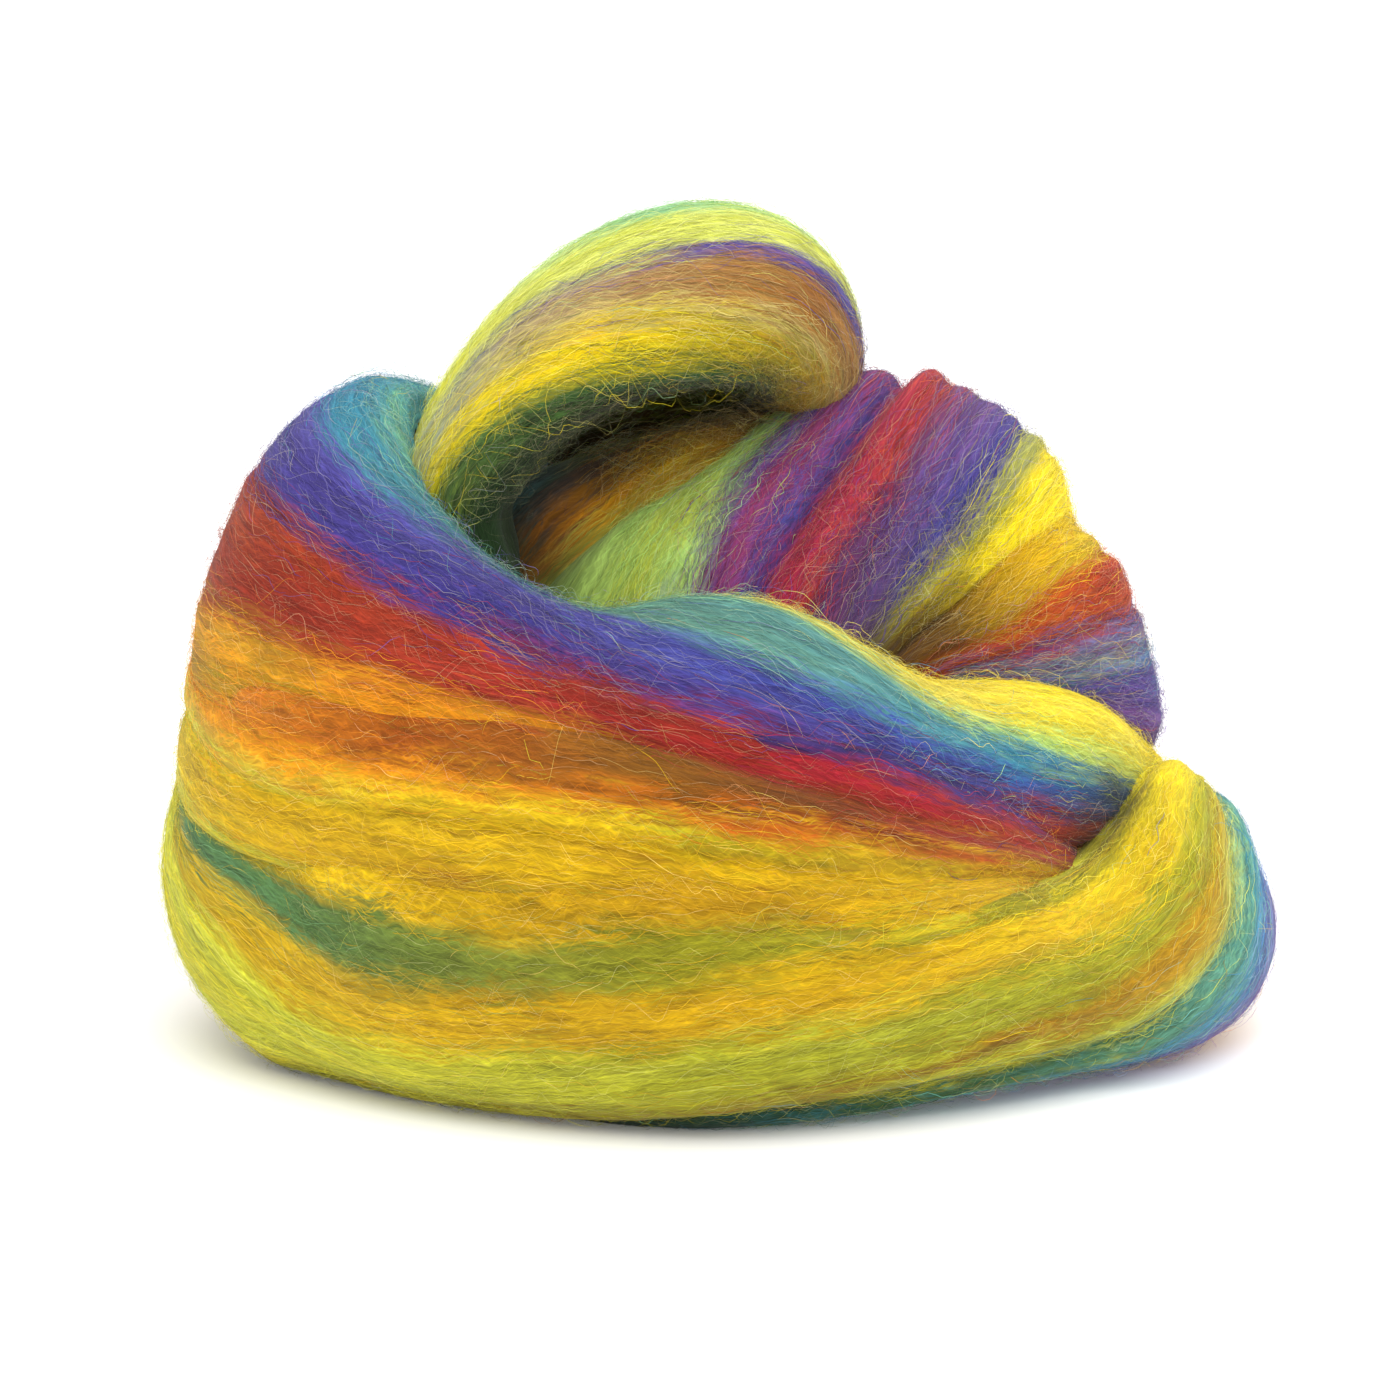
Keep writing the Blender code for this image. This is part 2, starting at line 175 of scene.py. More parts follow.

# ------------------------------------------------------------- dye stripes
# One table a turn.  "at" holds the sections where the paths are given.  Each
# row: dye (from start to end of the turn), the dye that streaks through it,
# groove depth in mm along the stripe's first edge, and that edge's place
# round the turn at each of "at": 0 is edge a, 0.25 the outer face, 0.5 edge
# b, 0.75 the inner face.  The lock past a groove lies over it; past a groove
# with a minus, under it.
# Where noted at a row, some of its dyes are painted shade, not dye.
STRIPES = {
    "upper_band": dict(
        at=(0, 3, 4, 5, 6, 7, 8, 9, 10, 11, 12, 15), rows=(
        ("teal teal teal teal straw yellow straw", "mint mint mint straw yellow", 0.0, (-.06, -.06, -.06, -.06, -.06, -.06, -.06, -.06, -.06, -.06, -.06, -.06)),
        ("sky teal mint mint leaf yellow", "teal teal sea lime", 0.2, (-.02, -.02, -.02, -.02, -.01, .02, .05, .13, .210, .213, .237, .25)),
        # Painted shade: the dteal at the right-hand ends of this row and the next two, and the near-black streak at
        # the end of the third, stand for the shade in the knot where the bands cross.
        ("sky sky teal sea teal dteal", "teal sky sea sea teal", 0.1, (.02, .02, .03, .015, .015, .045, .085, .155, .222, .244, .289, .31)),
        ("sky blue violet blue dteal", "teal violet blue sky", 0.2, (.10, .085, .120, .070, .055, .135, .220, .251, .271, .281, .305, .33)),
        ("violet violet indigo indigo dteal", "blue indigo violet dark", 0.2, (.15, .13, .165, .130, .120, .205, .250, .276, .297, .313, .345, .36)),
        ("vermilion red brick brick brick crimson", "orange rust crimson rust", 0.5, (.20, .19, .207, .217, .228, .255, .290, .325, .340, .352, .378, .39)),
        ("amber amber amber orange rust crimson", "olive olive brown rust", 0.4, (.29, .300, .295, .317, .318, .325, .367, .395, .420, .432, .460, .47)),
        ("amber orange orange", "gold orange rust", 0.2, (.38, .385, .403, .443, .443, .430, .425, .420, .430, .441, .468, .475)),
        ("lime", "gold", 0.3, (.50, .50, .505, .490, .478, .455, .460, .458, .461, .471, .487, .50)),
        ("gold", "orange", 0.2, (.62, .62, .62, .62, .62, .62, .62, .62, .62, .62, .62, .62)),
        ("teal", "green", 0.2, (.80, .80, .80, .80, .80, .80, .80, .80, .80, .80, .80, .80)),
        )),
    "seam": dict(
        at=(0, 1, 2, 3, 4, 5, 6, 7, 8, 9, 10, 11), rows=(
        ("amber rust crimson ink ink ink", "rust plum indigo", 0.0, (-.15,) * 12),
        ("amber orange rust crimson crimson crimson", "amber brick brick brick", 0.0, (-.10, -.10, -.10, -.10, -.08, -.03, .080, .120, .148, .180, .200, .21)),
        ("amber orange rust brown brick rust", "olive olive brown umber rust", 0.3, (-.05, -.03, -.01, .002, .011, .028, .150, .199, .222, .240, .260, .27)),
        ("amber amber orange rust ochre", "orange amber rust brown", 0.2, (.12, .16, .195, .205, .220, .223, .225, .230, .240, .265, .285, .30)),
        ("lime lime gold gold ochre gold", "gold lime olive ochre", 0.2, (.20, .23, .250, .246, .247, .240, .258, .256, .262, .285, .305, .32)),
        ("lime gold gold gold gold", "yellow gold brown brown ochre gold", -1.0, (.25, .26, .275, .287, .285, .300, .306, .297, .295, .310, .330, .34)),
        ("pale lime olive olive lime", "gold", 0.2, (.36, .37, .387, .45, .48, .50, .50, .40, .36, .37, .38, .39)),
        ("gold", "lime", 0.0, (.65,) * 12),
        )),
    "lower_band": dict(
        at=(0, 4, 5, 6, 7, 8, 9, 10, 11, 12, 13, 14, 15, 17, 20), rows=(
        ("dgreen lime lime lime lime yellow yellow", "dgreen gold gold lime gold", 0.2, (-.08,) * 15),
        ("blue lime gold ochre gold yellow yellow", "gold yellow gold brown brown gold", 0.6, (-.02, .10, .111, .110, .061, .050, .060, .053, .066, .050, .030, .020, .020, .020, .02)),
        # Painted shade, across the front of the band: the olive here and in the rows that start orange lime, gold
        # lime and green olive is lime dye painted darker for the shade towards the floor, and the near-black run in
        # the row that starts gold green stands for the shade at the bottom edge.
        ("dteal green green olive olive olive lime", "green mint green brown green gold", 0.3, (.05, .113, .116, .172, .195, .192, .170, .136, .102, .064, .045, .035, .030, .030, .03)),
        ("crimson gold gold ochre gold yellow yellow yellow", "red lime gold ochre gold gold", 0.3, (.13, .138, .178, .242, .258, .250, .224, .182, .148, .116, .075, .050, .040, .040, .04)),
        ("orange lime lime olive olive lime yellow", "rust yellow lime olive pale", 0.3, (.19, .14, .211, .303, .322, .301, .279, .250, .222, .191, .178, .162, .149, .140, .14)),
        ("gold lime olive brown brown ochre yellow yellow", "amber olive olive brown lime", 0.2, (.26, .42, .42, .42, .42, .41, .368, .320, .289, .250, .235, .206, .180, .170, .17)),
        ("green olive olive olive lime pale pale", "brown olive brown lime", 0.2, (.34, .43, .43, .43, .43, .42, .376, .345, .327, .292, .269, .231, .205, .190, .19)),
        ("gold green dark dark dark dgreen green teal sky sky", "olive olive dgreen dteal mint mint", 1.6, (.41, .47, .47, .47, .47, .46, .420, .385, .369, .348, .325, .261, .228, .210, .21)),
        ("olive green dteal teal sky sky", "dteal mint mint", 0.2, (.53, .53, .53, .53, .53, .52, .47, .44, .42, .395, .379, .300, .262, .250, .25)),
        ("sky sky mist violet", "blue", 0.2, (.57, .57, .57, .57, .57, .56, .53, .50, .47, .44, .420, .341, .302, .290, .29)),
        ("violet mauve", "mist mauve", 0.2, (.61, .61, .61, .61, .61, .60, .57, .54, .51, .48, .47, .405, .365, .340, .34)),
        ("gold", "orange", 0.2, (.66, .66, .66, .66, .66, .66, .63, .60, .57, .54, .53, .45, .41, .40, .40)),
        ("dgreen lime lime lime lime yellow yellow", "dgreen olive olive lime lime", 0.2, (.80,) * 15),
        )),
    "fan": dict(
        at=(0, 1, 2, 3, 4, 5, 8), rows=(
        ("leaf leaf leaf", "lime lime mint", 0.2, (-.10, -.10, -.10, -.10, -.10, -.10, -.10)),
        ("leaf mint teal", "leaf slate", 0.3, (.235, .217, .169, .107, .062, .056, .05)),
        ("purple", "violet", 0.5, (.245, .235, .180, .120, .075, .070, .07)),
        ("magenta rose magenta", "purple", 0.1, (.262, .250, .203, .157, .110, .105, .10)),
        ("violet indigo", "blue purple", 0.2, (.280, .264, .239, .192, .142, .138, .13)),
        ("crimson rose", "magenta red", 3.4, (.295, .278, .252, .216, .165, .160, .16)),
        ("crimson red vermilion", "vermilion", 0.1, (.335, .315, .282, .245, .205, .200, .20)),
        ("plum plum mauve purple", "mauve vermilion violet", 0.5, (.350, .330, .294, .254, .220, .215, .21)),
        ("plum violet purple violet", "slate brown mauve brown", 0.4, (.390, .372, .325, .284, .250, .245, .24)),
        ("indigo blue", "violet", 0.4, (.430, .412, .360, .316, .285, .280, .28)),
        ("olive olive pale pale", "lime slate lime", 0.8, (.448, .430, .390, .349, .316, .310, .31)),
        ("umber umber yellow yellow yellow yellow yellow", "brown yellow yellow lime", 0.3, (.465, .452, .421, .385, .355, .350, .35)),
        ("gold yellow yellow", "brown gold", 0.4, (.56, .55, .54, .54, .54, .54, .54)),
        ("lime", "yellow", 0.4, (.75, .75, .75, .75, .75, .75, .75)),
        )),
    "side_fan": dict(
        at=(0, 1, 2, 3, 4, 7), rows=(
        ("umber umber gold yellow yellow yellow yellow", "brown ochre yellow gold", 0.2, (-.10, -.10, -.10, -.10, -.10, -.10)),
        ("brick red red vermilion", "rust orange", 0.9, (.20, .190, .190, .188, .115, .11)),
        ("plum purple violet", "slate violet", 0.5, (.26, .248, .242, .258, .215, .20)),
        ("slate tan slate", "teal violet", 0.2, (.30, .291, .278, .288, .250, .24)),
        ("slate teal sky", "violet", 0.2, (.33, .320, .302, .302, .262, .26)),
        ("violet violet", "purple blue", 0.4, (.36, .347, .329, .325, .285, .28)),
        ("violet", "purple mauve", 0.2, (.41, .390, .363, .366, .340, .34)),
        ("indigo", "purple", 0.2, (.52, .52, .52, .52, .52, .52)),
        ("teal", "green", 0.2, (.70, .70, .70, .70, .70, .70)),
        )),
    "top_loop": dict(
        at=(0, 2, 3, 4, 5, 6, 7, 8, 10), rows=(
        ("pale pale pale mint pale pale", "pale mint", 0.2, (.06, .06, .06, .06, .06, .06, .06, .06, .06)),
        ("pale", "yellow lime lime", 0.2, (.19, .195, .200, .209, .212, .218, .19, .15, .12)),
        ("pale mist violet violet blue", "pale slate indigo indigo", 0.5, (.26, .272, .289, .299, .299, .271, .225, .180, .16)),
        ("pale pale tan brown tan", "slate slate rust brown", 0.4, (.27, .280, .297, .309, .321, .304, .280, .250, .23)),
        ("pale pale tan tan", "slate tan olive", 0.3, (.32, .335, .351, .366, .396, .401, .400, .390, .38)),
        ("yellow yellow yellow olive brown", "lime gold brown", 0.3, (.34, .352, .376, .397, .421, .438, .445, .440, .43)),
        # Painted shade in this row and the next two: the deep green, umber and near-black on the loop's underside
        # over the hollow are green dye painted darker for the shade there.
        ("green green dgreen umber", "lime dgreen dark", 0.4, (.38, .400, .444, .481, .506, .529, .550, .560, .56)),
        ("dgreen dark dark", "dgreen dark umber", 0.3, (.43, .450, .513, .538, .578, .600, .610, .620, .62)),
        ("dark", "dgreen", 0.2, (.60, .62, .64, .66, .68, .70, .70, .70, .70)),
        ("pale pale pale mint pale pale", "pale mint", 0.2, (.95, .95, .95, .95, .95, .95, .95, .95, .95)),
        )),
    "inner_strand": dict(
        at=(0, 1, 2, 3, 5), rows=(
        ("dteal olive brown", "teal olive", 0.2, (-.05, -.05, -.05, -.05, -.05)),
        # Painted shade: the near-black in this row and in the last row stands for the shade deep in the hollow.
        ("dteal umber dark", "dgreen orange brown", 0.3, (.17, .165, .140, .120, .10)),
        ("orange ochre umber", "rust brown", 0.3, (.26, .256, .229, .200, .18)),
        ("olive ochre brown", "leaf gold", 0.4, (.33, .328, .323, .287, .26)),
        ("brown", "rust", 0.3, (.48, .48, .47, .45, .44)),
        ("dark", "brown", 0.2, (.65, .65, .65, .65, .65)),
        )),
    "back_ring": dict(
        at=(0, 2, 4, 7), rows=(
        ("mint teal", "lime", 0.2, (-.06, -.06, -.06, -.06)),
        ("blue", "violet", 0.2, (.05, .07, .08, .06)),
        ("violet", "indigo", 0.3, (.10, .12, .14, .11)),
        ("crimson red", "magenta", 0.4, (.16, .18, .20, .17)),
        ("rust orange", "vermilion", 0.4, (.21, .235, .25, .22)),
        ("amber gold", "brown", 0.3, (.27, .29, .31, .28)),
        ("lime", "gold", 0.3, (.34, .35, .37, .35)),
        ("teal green", "gold", 0.3, (.39, .40, .42, .40)),
        ("gold", "lime", 0.2, (.45, .45, .46, .45)),
        ("olive", "lime", 0.2, (.62, .62, .62, .62)),
        )),
    "back_turn": dict(
        at=(0, 2, 3, 5), rows=(
        ("pale", "lime", 0.2, (-.08, -.08, -.08, -.08)),
        # Painted shade: the near-black of this row and the next two is the shade of the hollow, where this turn shows
        # through.
        ("dark", "dgreen olive", 0.2, (.07, .08, .09, .08)),
        ("dark", "brown", 0.3, (.20, .22, .23, .21)),
        ("dark", "dgreen", 0.2, (.42, .43, .45, .43)),
        ("gold rust", "lime", 0.2, (.52, .53, .54, .53)),
        ("vermilion orange", "gold", 0.3, (.59, .60, .61, .60)),
        ("purple crimson", "magenta", 0.4, (.65, .66, .68, .67)),
        ("blue violet", "teal", 0.3, (.72, .74, .75, .73)),
        ("teal", "sky", 0.3, (.79, .80, .82, .80)),
        ("mint", "teal", 0.2, (.86, .87, .88, .87)),
        )),
}

TURNS = (
    ("upper_band", UPPER_BAND, 1.0),
    ("lower_band", LOWER_BAND, 1.0),
    ("fan", FAN, 1.0),
    ("side_fan", SIDE_FAN, 1.0),
    ("top_loop", TOP_LOOP, 1.0),
    ("inner_strand", INNER_STRAND, 0.8),
    ("back_ring", BACK_RING, 1.0),
    ("back_turn", BACK_TURN, 1.0),
)
RING = 132          # points round a skin
STEP = 1.25         # spacing of a skin's sections, mm


# ------------------------------------------------------------------- helpers
def linear(rgb):
    c = np.asarray(rgb, float) / 255.0
    return np.where(c <= 0.04045, c / 12.92, ((c + 0.055) / 1.055) ** 2.4)


DYE = {name: linear(rgb) for name, rgb in DYES.items()}
DYE_CREAM = linear(CREAM)


def spline_at(rows, t):
    """Natural cubic spline through the rows, read at row numbers t."""
    rows = np.asarray(rows, float)
    m = len(rows)
    a = np.zeros((m, m))
    rhs = np.zeros_like(rows)
    a[0, 0] = a[-1, -1] = 1.0
    for i in range(1, m - 1):
        a[i, i - 1:i + 2] = (1.0, 4.0, 1.0)
        rhs[i] = 6.0 * (rows[i + 1] - 2.0 * rows[i] + rows[i - 1])
    bend = np.linalg.solve(a, rhs)
    k = np.clip(t.astype(int), 0, m - 2)
    f = (t - k)[:, None]
    g = 1.0 - f
    return (g * rows[k] + f * rows[k + 1]
            + ((g ** 3 - g) * bend[k] + (f ** 3 - f) * bend[k + 1]) / 6.0)


def unit(v):
    return v / np.maximum(np.linalg.norm(v, axis=-1, keepdims=True), 1e-9)


def smooth(x, lo, hi):
    x = np.clip((x - lo) / (hi - lo), 0.0, 1.0)
    return x * x * (3 - 2 * x)


def value_noise(x, y, period, seed):
    """Smooth noise in -1..1 on a lattice, repeating in y every `period` cells."""
    rng = np.random.default_rng(seed)
    period = max(int(period), 2)
    span = int(np.max(x)) + 4
    lattice = rng.uniform(-1, 1, (span, period))
    xi, yi = np.floor(x).astype(int), np.floor(y).astype(int)
    fx, fy = x - xi, y - yi
    fx, fy = fx * fx * (3 - 2 * fx), fy * fy * (3 - 2 * fy)
    xi = np.clip(xi, 0, span - 2)
    a, b = lattice[xi, yi % period], lattice[xi, (yi + 1) % period]
    c, d = lattice[xi + 1, yi % period], lattice[xi + 1, (yi + 1) % period]
    return (a * (1 - fy) + b * fy) * (1 - fx) + (c * (1 - fy) + d * fy) * fx


# Painted shade: places deep in a fold, where the wool's colour is pulled towards a darker dye for the shade there:
# middle (table millimetres), radius, dye, strength
FOLD_SHADE = (
    ((58, -1, 40), 5.5, "dark", 0.80), ((53, -7, 38), 6.0, "dark", 0.35), ((53, -6, 35), 3.5, "umber", 0.55),
    ((21, 2, 59), 4.5, "umber", 0.75), ((26, 3.5, 61.5), 4.5, "umber", 0.75), ((31, 6, 64.5), 4.0, "umber", 0.7),
    ((35.5, 8.5, 69), 2.6, "umber", 0.45),
    ((-27, 19, 82), 6.0, "dteal", 0.75), ((-30, 3, 68), 9.0, "dgreen", 0.85), ((-26, 10, 74), 7.0, "dark", 0.6),
    ((-18, 16, 88), 6.0, "dark", 0.6), ((-21, 17, 78), 4.0, "umber", 0.5),
    ((5, 27, 94), 9.0, "dark", 0.75), ((-10, 27, 94), 8.0, "dark", 0.65),
)


# Painted shade: pulls colours near each fold place towards that place's dye.
def paint_fold_shade(points, colours):
    for middle, radius, dye, strength in FOLD_SHADE:
        d2 = ((points + SHIFT - np.array(middle)) ** 2).sum(-1)
        k = (strength * np.exp(-d2 / radius ** 2))[..., None]
        colours = colours * (1 - k) + DYE[dye] * k
    return colours


class Turn:
    """One turn of the rope: its surface, its stripes and its lock relief."""

    def __init__(self, name, table, fineness, seed):
        self.name, self.seed = name, seed
        rows = np.array([tuple(r[1]) + tuple(r[2]) + (r[3], r[4]) for r in table], float)
        m = len(rows)
        t = np.linspace(0, m - 1, 40 * m)
        mid = spline_at(rows, t)
        mid = (mid[:, :3] + mid[:, 3:6]) / 2
        run = np.concatenate([[0], np.cumsum(np.linalg.norm(np.diff(mid, axis=0), axis=1))])
        self.length = run[-1]
        nu = int(self.length / (STEP * fineness)) + 1
        self.run = np.linspace(0, self.length, nu)           # mm along the turn
        self.row = np.interp(self.run, run, t)               # section number
        s = spline_at(rows, self.row)
        a, b, out, inn = s[:, :3], s[:, 3:6], s[:, 6], s[:, 7]
        centre, half = (a + b) / 2, (a - b) / 2
        along = unit(np.gradient(centre, axis=0))
        normal = unit(np.cross(along, unit(half)))
        self.phi = np.linspace(0, 1, RING, endpoint=False)
        c, d = np.cos(2 * np.pi * self.phi), np.sin(2 * np.pi * self.phi)
        e = 2.0 / SQUARENESS
        c, d = np.sign(c) * np.abs(c) ** e, np.sign(d) * np.abs(d) ** e
        swell = np.where(d[None] >= 0, out[:, None], inn[:, None]) * d[None]
        self.p = centre[:, None] + c[None, :, None] * half[:, None] + swell[..., None] * normal[:, None]
        self.p -= SHIFT
        self.nu, self.nv = nu, RING
        self.stripes()

    def finish(self):
        self.relief()
        self.n = self.normals(self.p)
        away = np.linalg.norm(np.roll(self.p, -1, 1) - np.roll(self.p, 1, 1), axis=2) / 2
        self.across = np.maximum(away * RING, 4.0)           # mm for a whole phi
        self.area = away * np.gradient(self.run)[:, None]

    def tree(self):
        """A search tree of the turn's surface, with outward normals."""
        nu, nv = self.nu, self.nv
        q = (np.arange(nu - 1)[:, None] * nv + np.arange(nv)[None]).ravel()
        r = (np.arange(nu - 1)[:, None] * nv + (np.arange(nv)[None] + 1) % nv).ravel()
        faces = np.stack([q, r, r + nv, q + nv], 1)
        return BVHTree.FromPolygons(self.p.reshape(-1, 3).tolist(), faces.tolist())

    @staticmethod
    def normals(p):
        du = np.gradient(p, axis=0)
        dv = np.roll(p, -1, 1) - np.roll(p, 1, 1)
        n = unit(np.cross(du, dv))
        c = p.mean(1, keepdims=True)
        return n if ((p - c) * n).sum() > 0 else -n

    def stripes(self):
        spec = STRIPES[self.name]
        at = np.array(spec["at"], float)
        edges, dyes, seconds, grooves = [], [], [], []
        for dye, second, groove, places in spec["rows"]:
            path = np.interp(self.row, at, np.array(places, float))
            for _ in range(3):                                # soften the corners
                pad = np.pad(path, 6, mode="edge")
                path = np.convolve(pad, np.ones(13) / 13, "valid")
            edges.append(path)
            for names, store in ((dye.split(), dyes), (second.split(), seconds)):
                cols = np.array([DYE[x] for x in names])
                k = np.linspace(0, 1, len(names)) if len(names) > 1 else np.array([0.0])
                frac = self.run / self.length
                store.append(np.stack([np.interp(frac, k, cols[:, i]) for i in range(3)], 1))
            grooves.append(groove)
        self.edges = np.array(edges)                          # stripe x section
        for k in range(1, len(self.edges)):
            self.edges[k] = np.maximum(self.edges[k], self.edges[k - 1] + 0.004)
        self.edges = np.vstack([self.edges, self.edges[:1] + 1.0])
        self.dyes = np.array(dyes)                            # stripe x section x rgb
        self.seconds = np.array(seconds)
        self.grooves = np.array(grooves)

    def stripe_at(self, iu, phi):
        """Stripe number and place in it, for section numbers iu and places phi."""
        e = self.edges[:, iu]
        phi = e[0] + np.mod(phi - e[0], 1.0)
        k = np.clip((phi[None] >= e).sum(0) - 1, 0, len(self.edges) - 2)
        lo = np.take_along_axis(e, k[None], 0)[0]
        hi = np.take_along_axis(e, k[None] + 1, 0)[0]
        return k, np.clip((phi - lo) / (hi - lo), 0, 1)

    def colour_at(self, iu, phi, streak=0.0):
        """The dye there; streak (0..1) is how much of the second dye shows."""
        k, f = self.stripe_at(iu, phi)
        streak = (np.zeros(len(iu)) + streak)[:, None]
        return self.dyes[k, iu] * (1 - streak) + self.seconds[k, iu] * streak

    def streak_at(self, iu, phi):
        """Where whole locks of the second dye run through, 0..1."""
        k, f = self.stripe_at(iu, phi)
        mean = self.edges.mean(1)
        place = mean[k] + f * (mean[k + 1] - mean[k]) - mean[0]
        n = 0.0
        for cell, long, amp, s in ((1.7, 46.0, 0.42, 7), (0.8, 22.0, 0.38, 8), (0.4, 11.0, 0.30, 9)):
            count = max(int(round(self.girth / cell)), 3)
            n = n + amp * value_noise(self.run[iu] / long + 1, place * count, count, self.seed * 31 + s)
        return smooth(n, -0.02, 0.30)

    def relief(self):
        n = self.normals(self.p)
        gap = np.linalg.norm(np.roll(self.p, -1, 1) - self.p, axis=2)
        girth = gap.sum(1).mean()
        iu = np.repeat(np.arange(self.nu)[:, None], self.nv, 1)
        phi = np.repeat(self.phi[None], self.nu, 0)
        k, f = self.stripe_at(iu.ravel(), phi.ravel())
        k, f = k.reshape(iu.shape), f.reshape(iu.shape)
        mean = self.edges.mean(1)
        self.place = mean[k] + f * (mean[k + 1] - mean[k]) - mean[0]    # 0..1, constant along the flow
        self.girth = girth
        h = np.zeros(self.p.shape[:2])
        run = np.repeat(self.run[:, None], self.nv, 1)
        for cell, long, amp, s in ((7.0, 42.0, 0.75, 1), (3.4, 26.0, 0.42, 2), (1.9, 15.0, 0.22, 3)):
            count = max(int(round(girth / cell)), 3)
            h += amp * value_noise(run / long + 1, self.place * count, count, self.seed * 31 + s)
        local = np.maximum(gap, 0.05) * self.nv                        # mm per whole phi
        for j, depth in enumerate(self.grooves):
            d = (np.mod(phi - self.edges[j][:, None] + 0.5, 1.0) - 0.5) * local
            d, depth = (d, depth) if depth >= 0 else (-d, -depth)       # the lock past the groove lies over it
            width = 0.75 + 0.5 * depth ** 0.5
            h -= depth * np.exp(-(d / width) ** 2)
            h += 0.45 * depth * np.exp(-((d - 2.4 * width) / (1.5 * width)) ** 2)
        ends = smooth(self.run, 0, 6) * smooth(self.length - self.run, 0, 6)
        self.h = h * ends[:, None]
        self.p = self.p + n * self.h[..., None]
        self.p[..., 2] = np.maximum(self.p[..., 2], 0.0)

    def sample(self, grid, fu, phi):
        """Bilinear reading of a grid at section fu and place phi."""
        v = np.mod(phi, 1.0) * self.nv
        iv = np.floor(v).astype(int)
        fv = v - iv
        iv0, iv1 = iv % self.nv, (iv + 1) % self.nv
        iu = np.clip(np.floor(fu).astype(int), 0, self.nu - 2)
        f = np.clip(fu - iu, 0, 1)
        if grid.ndim == 3:
            fv, f = fv[..., None], f[..., None]
        return ((grid[iu, iv0] * (1 - fv) + grid[iu, iv1] * fv) * (1 - f)
                + (grid[iu + 1, iv0] * (1 - fv) + grid[iu + 1, iv1] * fv) * f)


turns = {name: Turn(name, table, fine, i + 1) for i, (name, table, fine) in enumerate(TURNS)}


def felt_together(a, b, reach):
    """Fill the crease between two turns, as wool that lies as one does.

    Both skins move to the rounded union of the two; reach(run of a, run of b)
    gives the rounding in mm along each turn."""
    moved = []
    for one, other, radius in ((a, b, reach[0]), (b, a, reach[1])):
        tree = other.tree()
        n = one.normals(one.p)
        m = other.normals(other.p).reshape(-1, 3)
        lo, hi = other.p.reshape(-1, 3).min(0) - 24, other.p.reshape(-1, 3).max(0) + 24
        k_row = np.interp(one.row, [r for r, _ in radius], [k for _, k in radius])
        shift = np.zeros_like(one.p)
        near = ((one.p > lo) & (one.p < hi)).all(-1) & (k_row[:, None] > 0.5)
        flat = other.p.reshape(-1, 3)
        for i, j in zip(*np.nonzero(near)):
            k = k_row[i]
            p = Vector(one.p[i, j])
            q, _, face, dist = tree.find_nearest(p)
            if dist > k:
                continue
            v = (face // other.nv) * other.nv + face % other.nv
            mn = m[v]
            d = dist if (one.p[i, j] - np.array(q)) @ mn > 0 else -dist
            w = min(max(0.5 + 0.5 * d / k, 0.0), 1.0)
            f = (1 - w) * d - k * w * (1 - w)
            g = w * n[i, j] + (1 - w) * mn
            fade = min(max((d + 4.0) / 4.0, 0.0), 1.0)
            shift[i, j] = -f * g / max(g @ g, 0.35) * fade
        moved.append(shift)
    for one, shift in zip((a, b), moved):
        for _ in range(3):                     # even out the moved skin
            ring = (np.roll(shift, 1, 1) + np.roll(shift, -1, 1)) / 2
            rows = shift.copy()
            rows[1:-1] = (shift[2:] + shift[:-2]) / 2
            shift = 0.5 * shift + 0.25 * ring + 0.25 * rows
        one.p = one.p + shift


def seam_table(upper, lower, pairs):
    """Sections of the wool that bridges the hollow between two turns.

    Each section's edges are the two points where a straight line would rest
    on both turns, a little further out and pressed in."""
    rows = []
    for number, (ru, rl, high, low, out, sink) in enumerate(pairs):
        iu = int(round(np.interp(ru, upper.row, np.arange(upper.nu))))
        il = int(round(np.interp(rl, lower.row, np.arange(lower.nu))))
        ju = np.arange(int(.20 * RING), int(.60 * RING)) % RING
        jl = np.arange(int(-.10 * RING), int(.30 * RING)) % RING
        pu, pl = upper.p[iu, ju], lower.p[il, jl]
        v = unit(upper.p[iu, int(.25 * RING)] - lower.p[il, int(.25 * RING)])
        along = unit(upper.p[min(iu + 3, upper.nu - 1)].mean(0) - upper.p[max(iu - 3, 0)].mean(0))
        o = unit(np.cross(along, v))
        if o @ (upper.p[iu, int(.25 * RING)] - upper.p[iu].mean(0)) < 0:
            o = -o
        best, pick = -1e9, None
        for a in range(0, len(ju), 2):
            for b in range(0, len(jl), 2):
                d = pu[a] - pl[b]
                m = unit(o - (o @ unit(d)) * unit(d))
                over = max(((pu - pu[a]) @ m).max(), ((pl - pl[b]) @ m).max())
                if -over > best:
                    best, pick = -over, (a, b)
        a, b = pick
        nu_, nl_ = upper.normals(upper.p)[iu, ju], lower.normals(lower.p)[il, jl]
        mid = (pu[a] + pl[b]) / 2 - o * sink
        a2, b2 = max(a - int(.035 * RING), 0), min(b + int(.035 * RING), len(jl) - 1)
        ea = mid + (pu[a2] - nu_[a2] * 1.3 - mid) * high
        eb = mid + (pl[b2] - nl_[b2] * 1.3 - mid) * low
        rows.append(("s%02d" % number, tuple(ea + SHIFT), tuple(eb + SHIFT), out, 5.0))
    return rows


# the rows are (section number, rounding in mm)
felt_together(turns["upper_band"], turns["lower_band"],
              (((0, 0), (2, 4), (4, 7), (10, 7), (11.5, 4), (13, 0)),
               ((0, 0), (3, 4), (5, 7), (11, 7), (12.5, 4), (14, 0))))
felt_together(turns["fan"], turns["side_fan"],
              (((1.5, 0), (2.5, 2.5), (5, 3.5), (6, 0)), ((1.2, 0), (2.2, 2.5), (4.5, 3.5), (5.5, 0))))
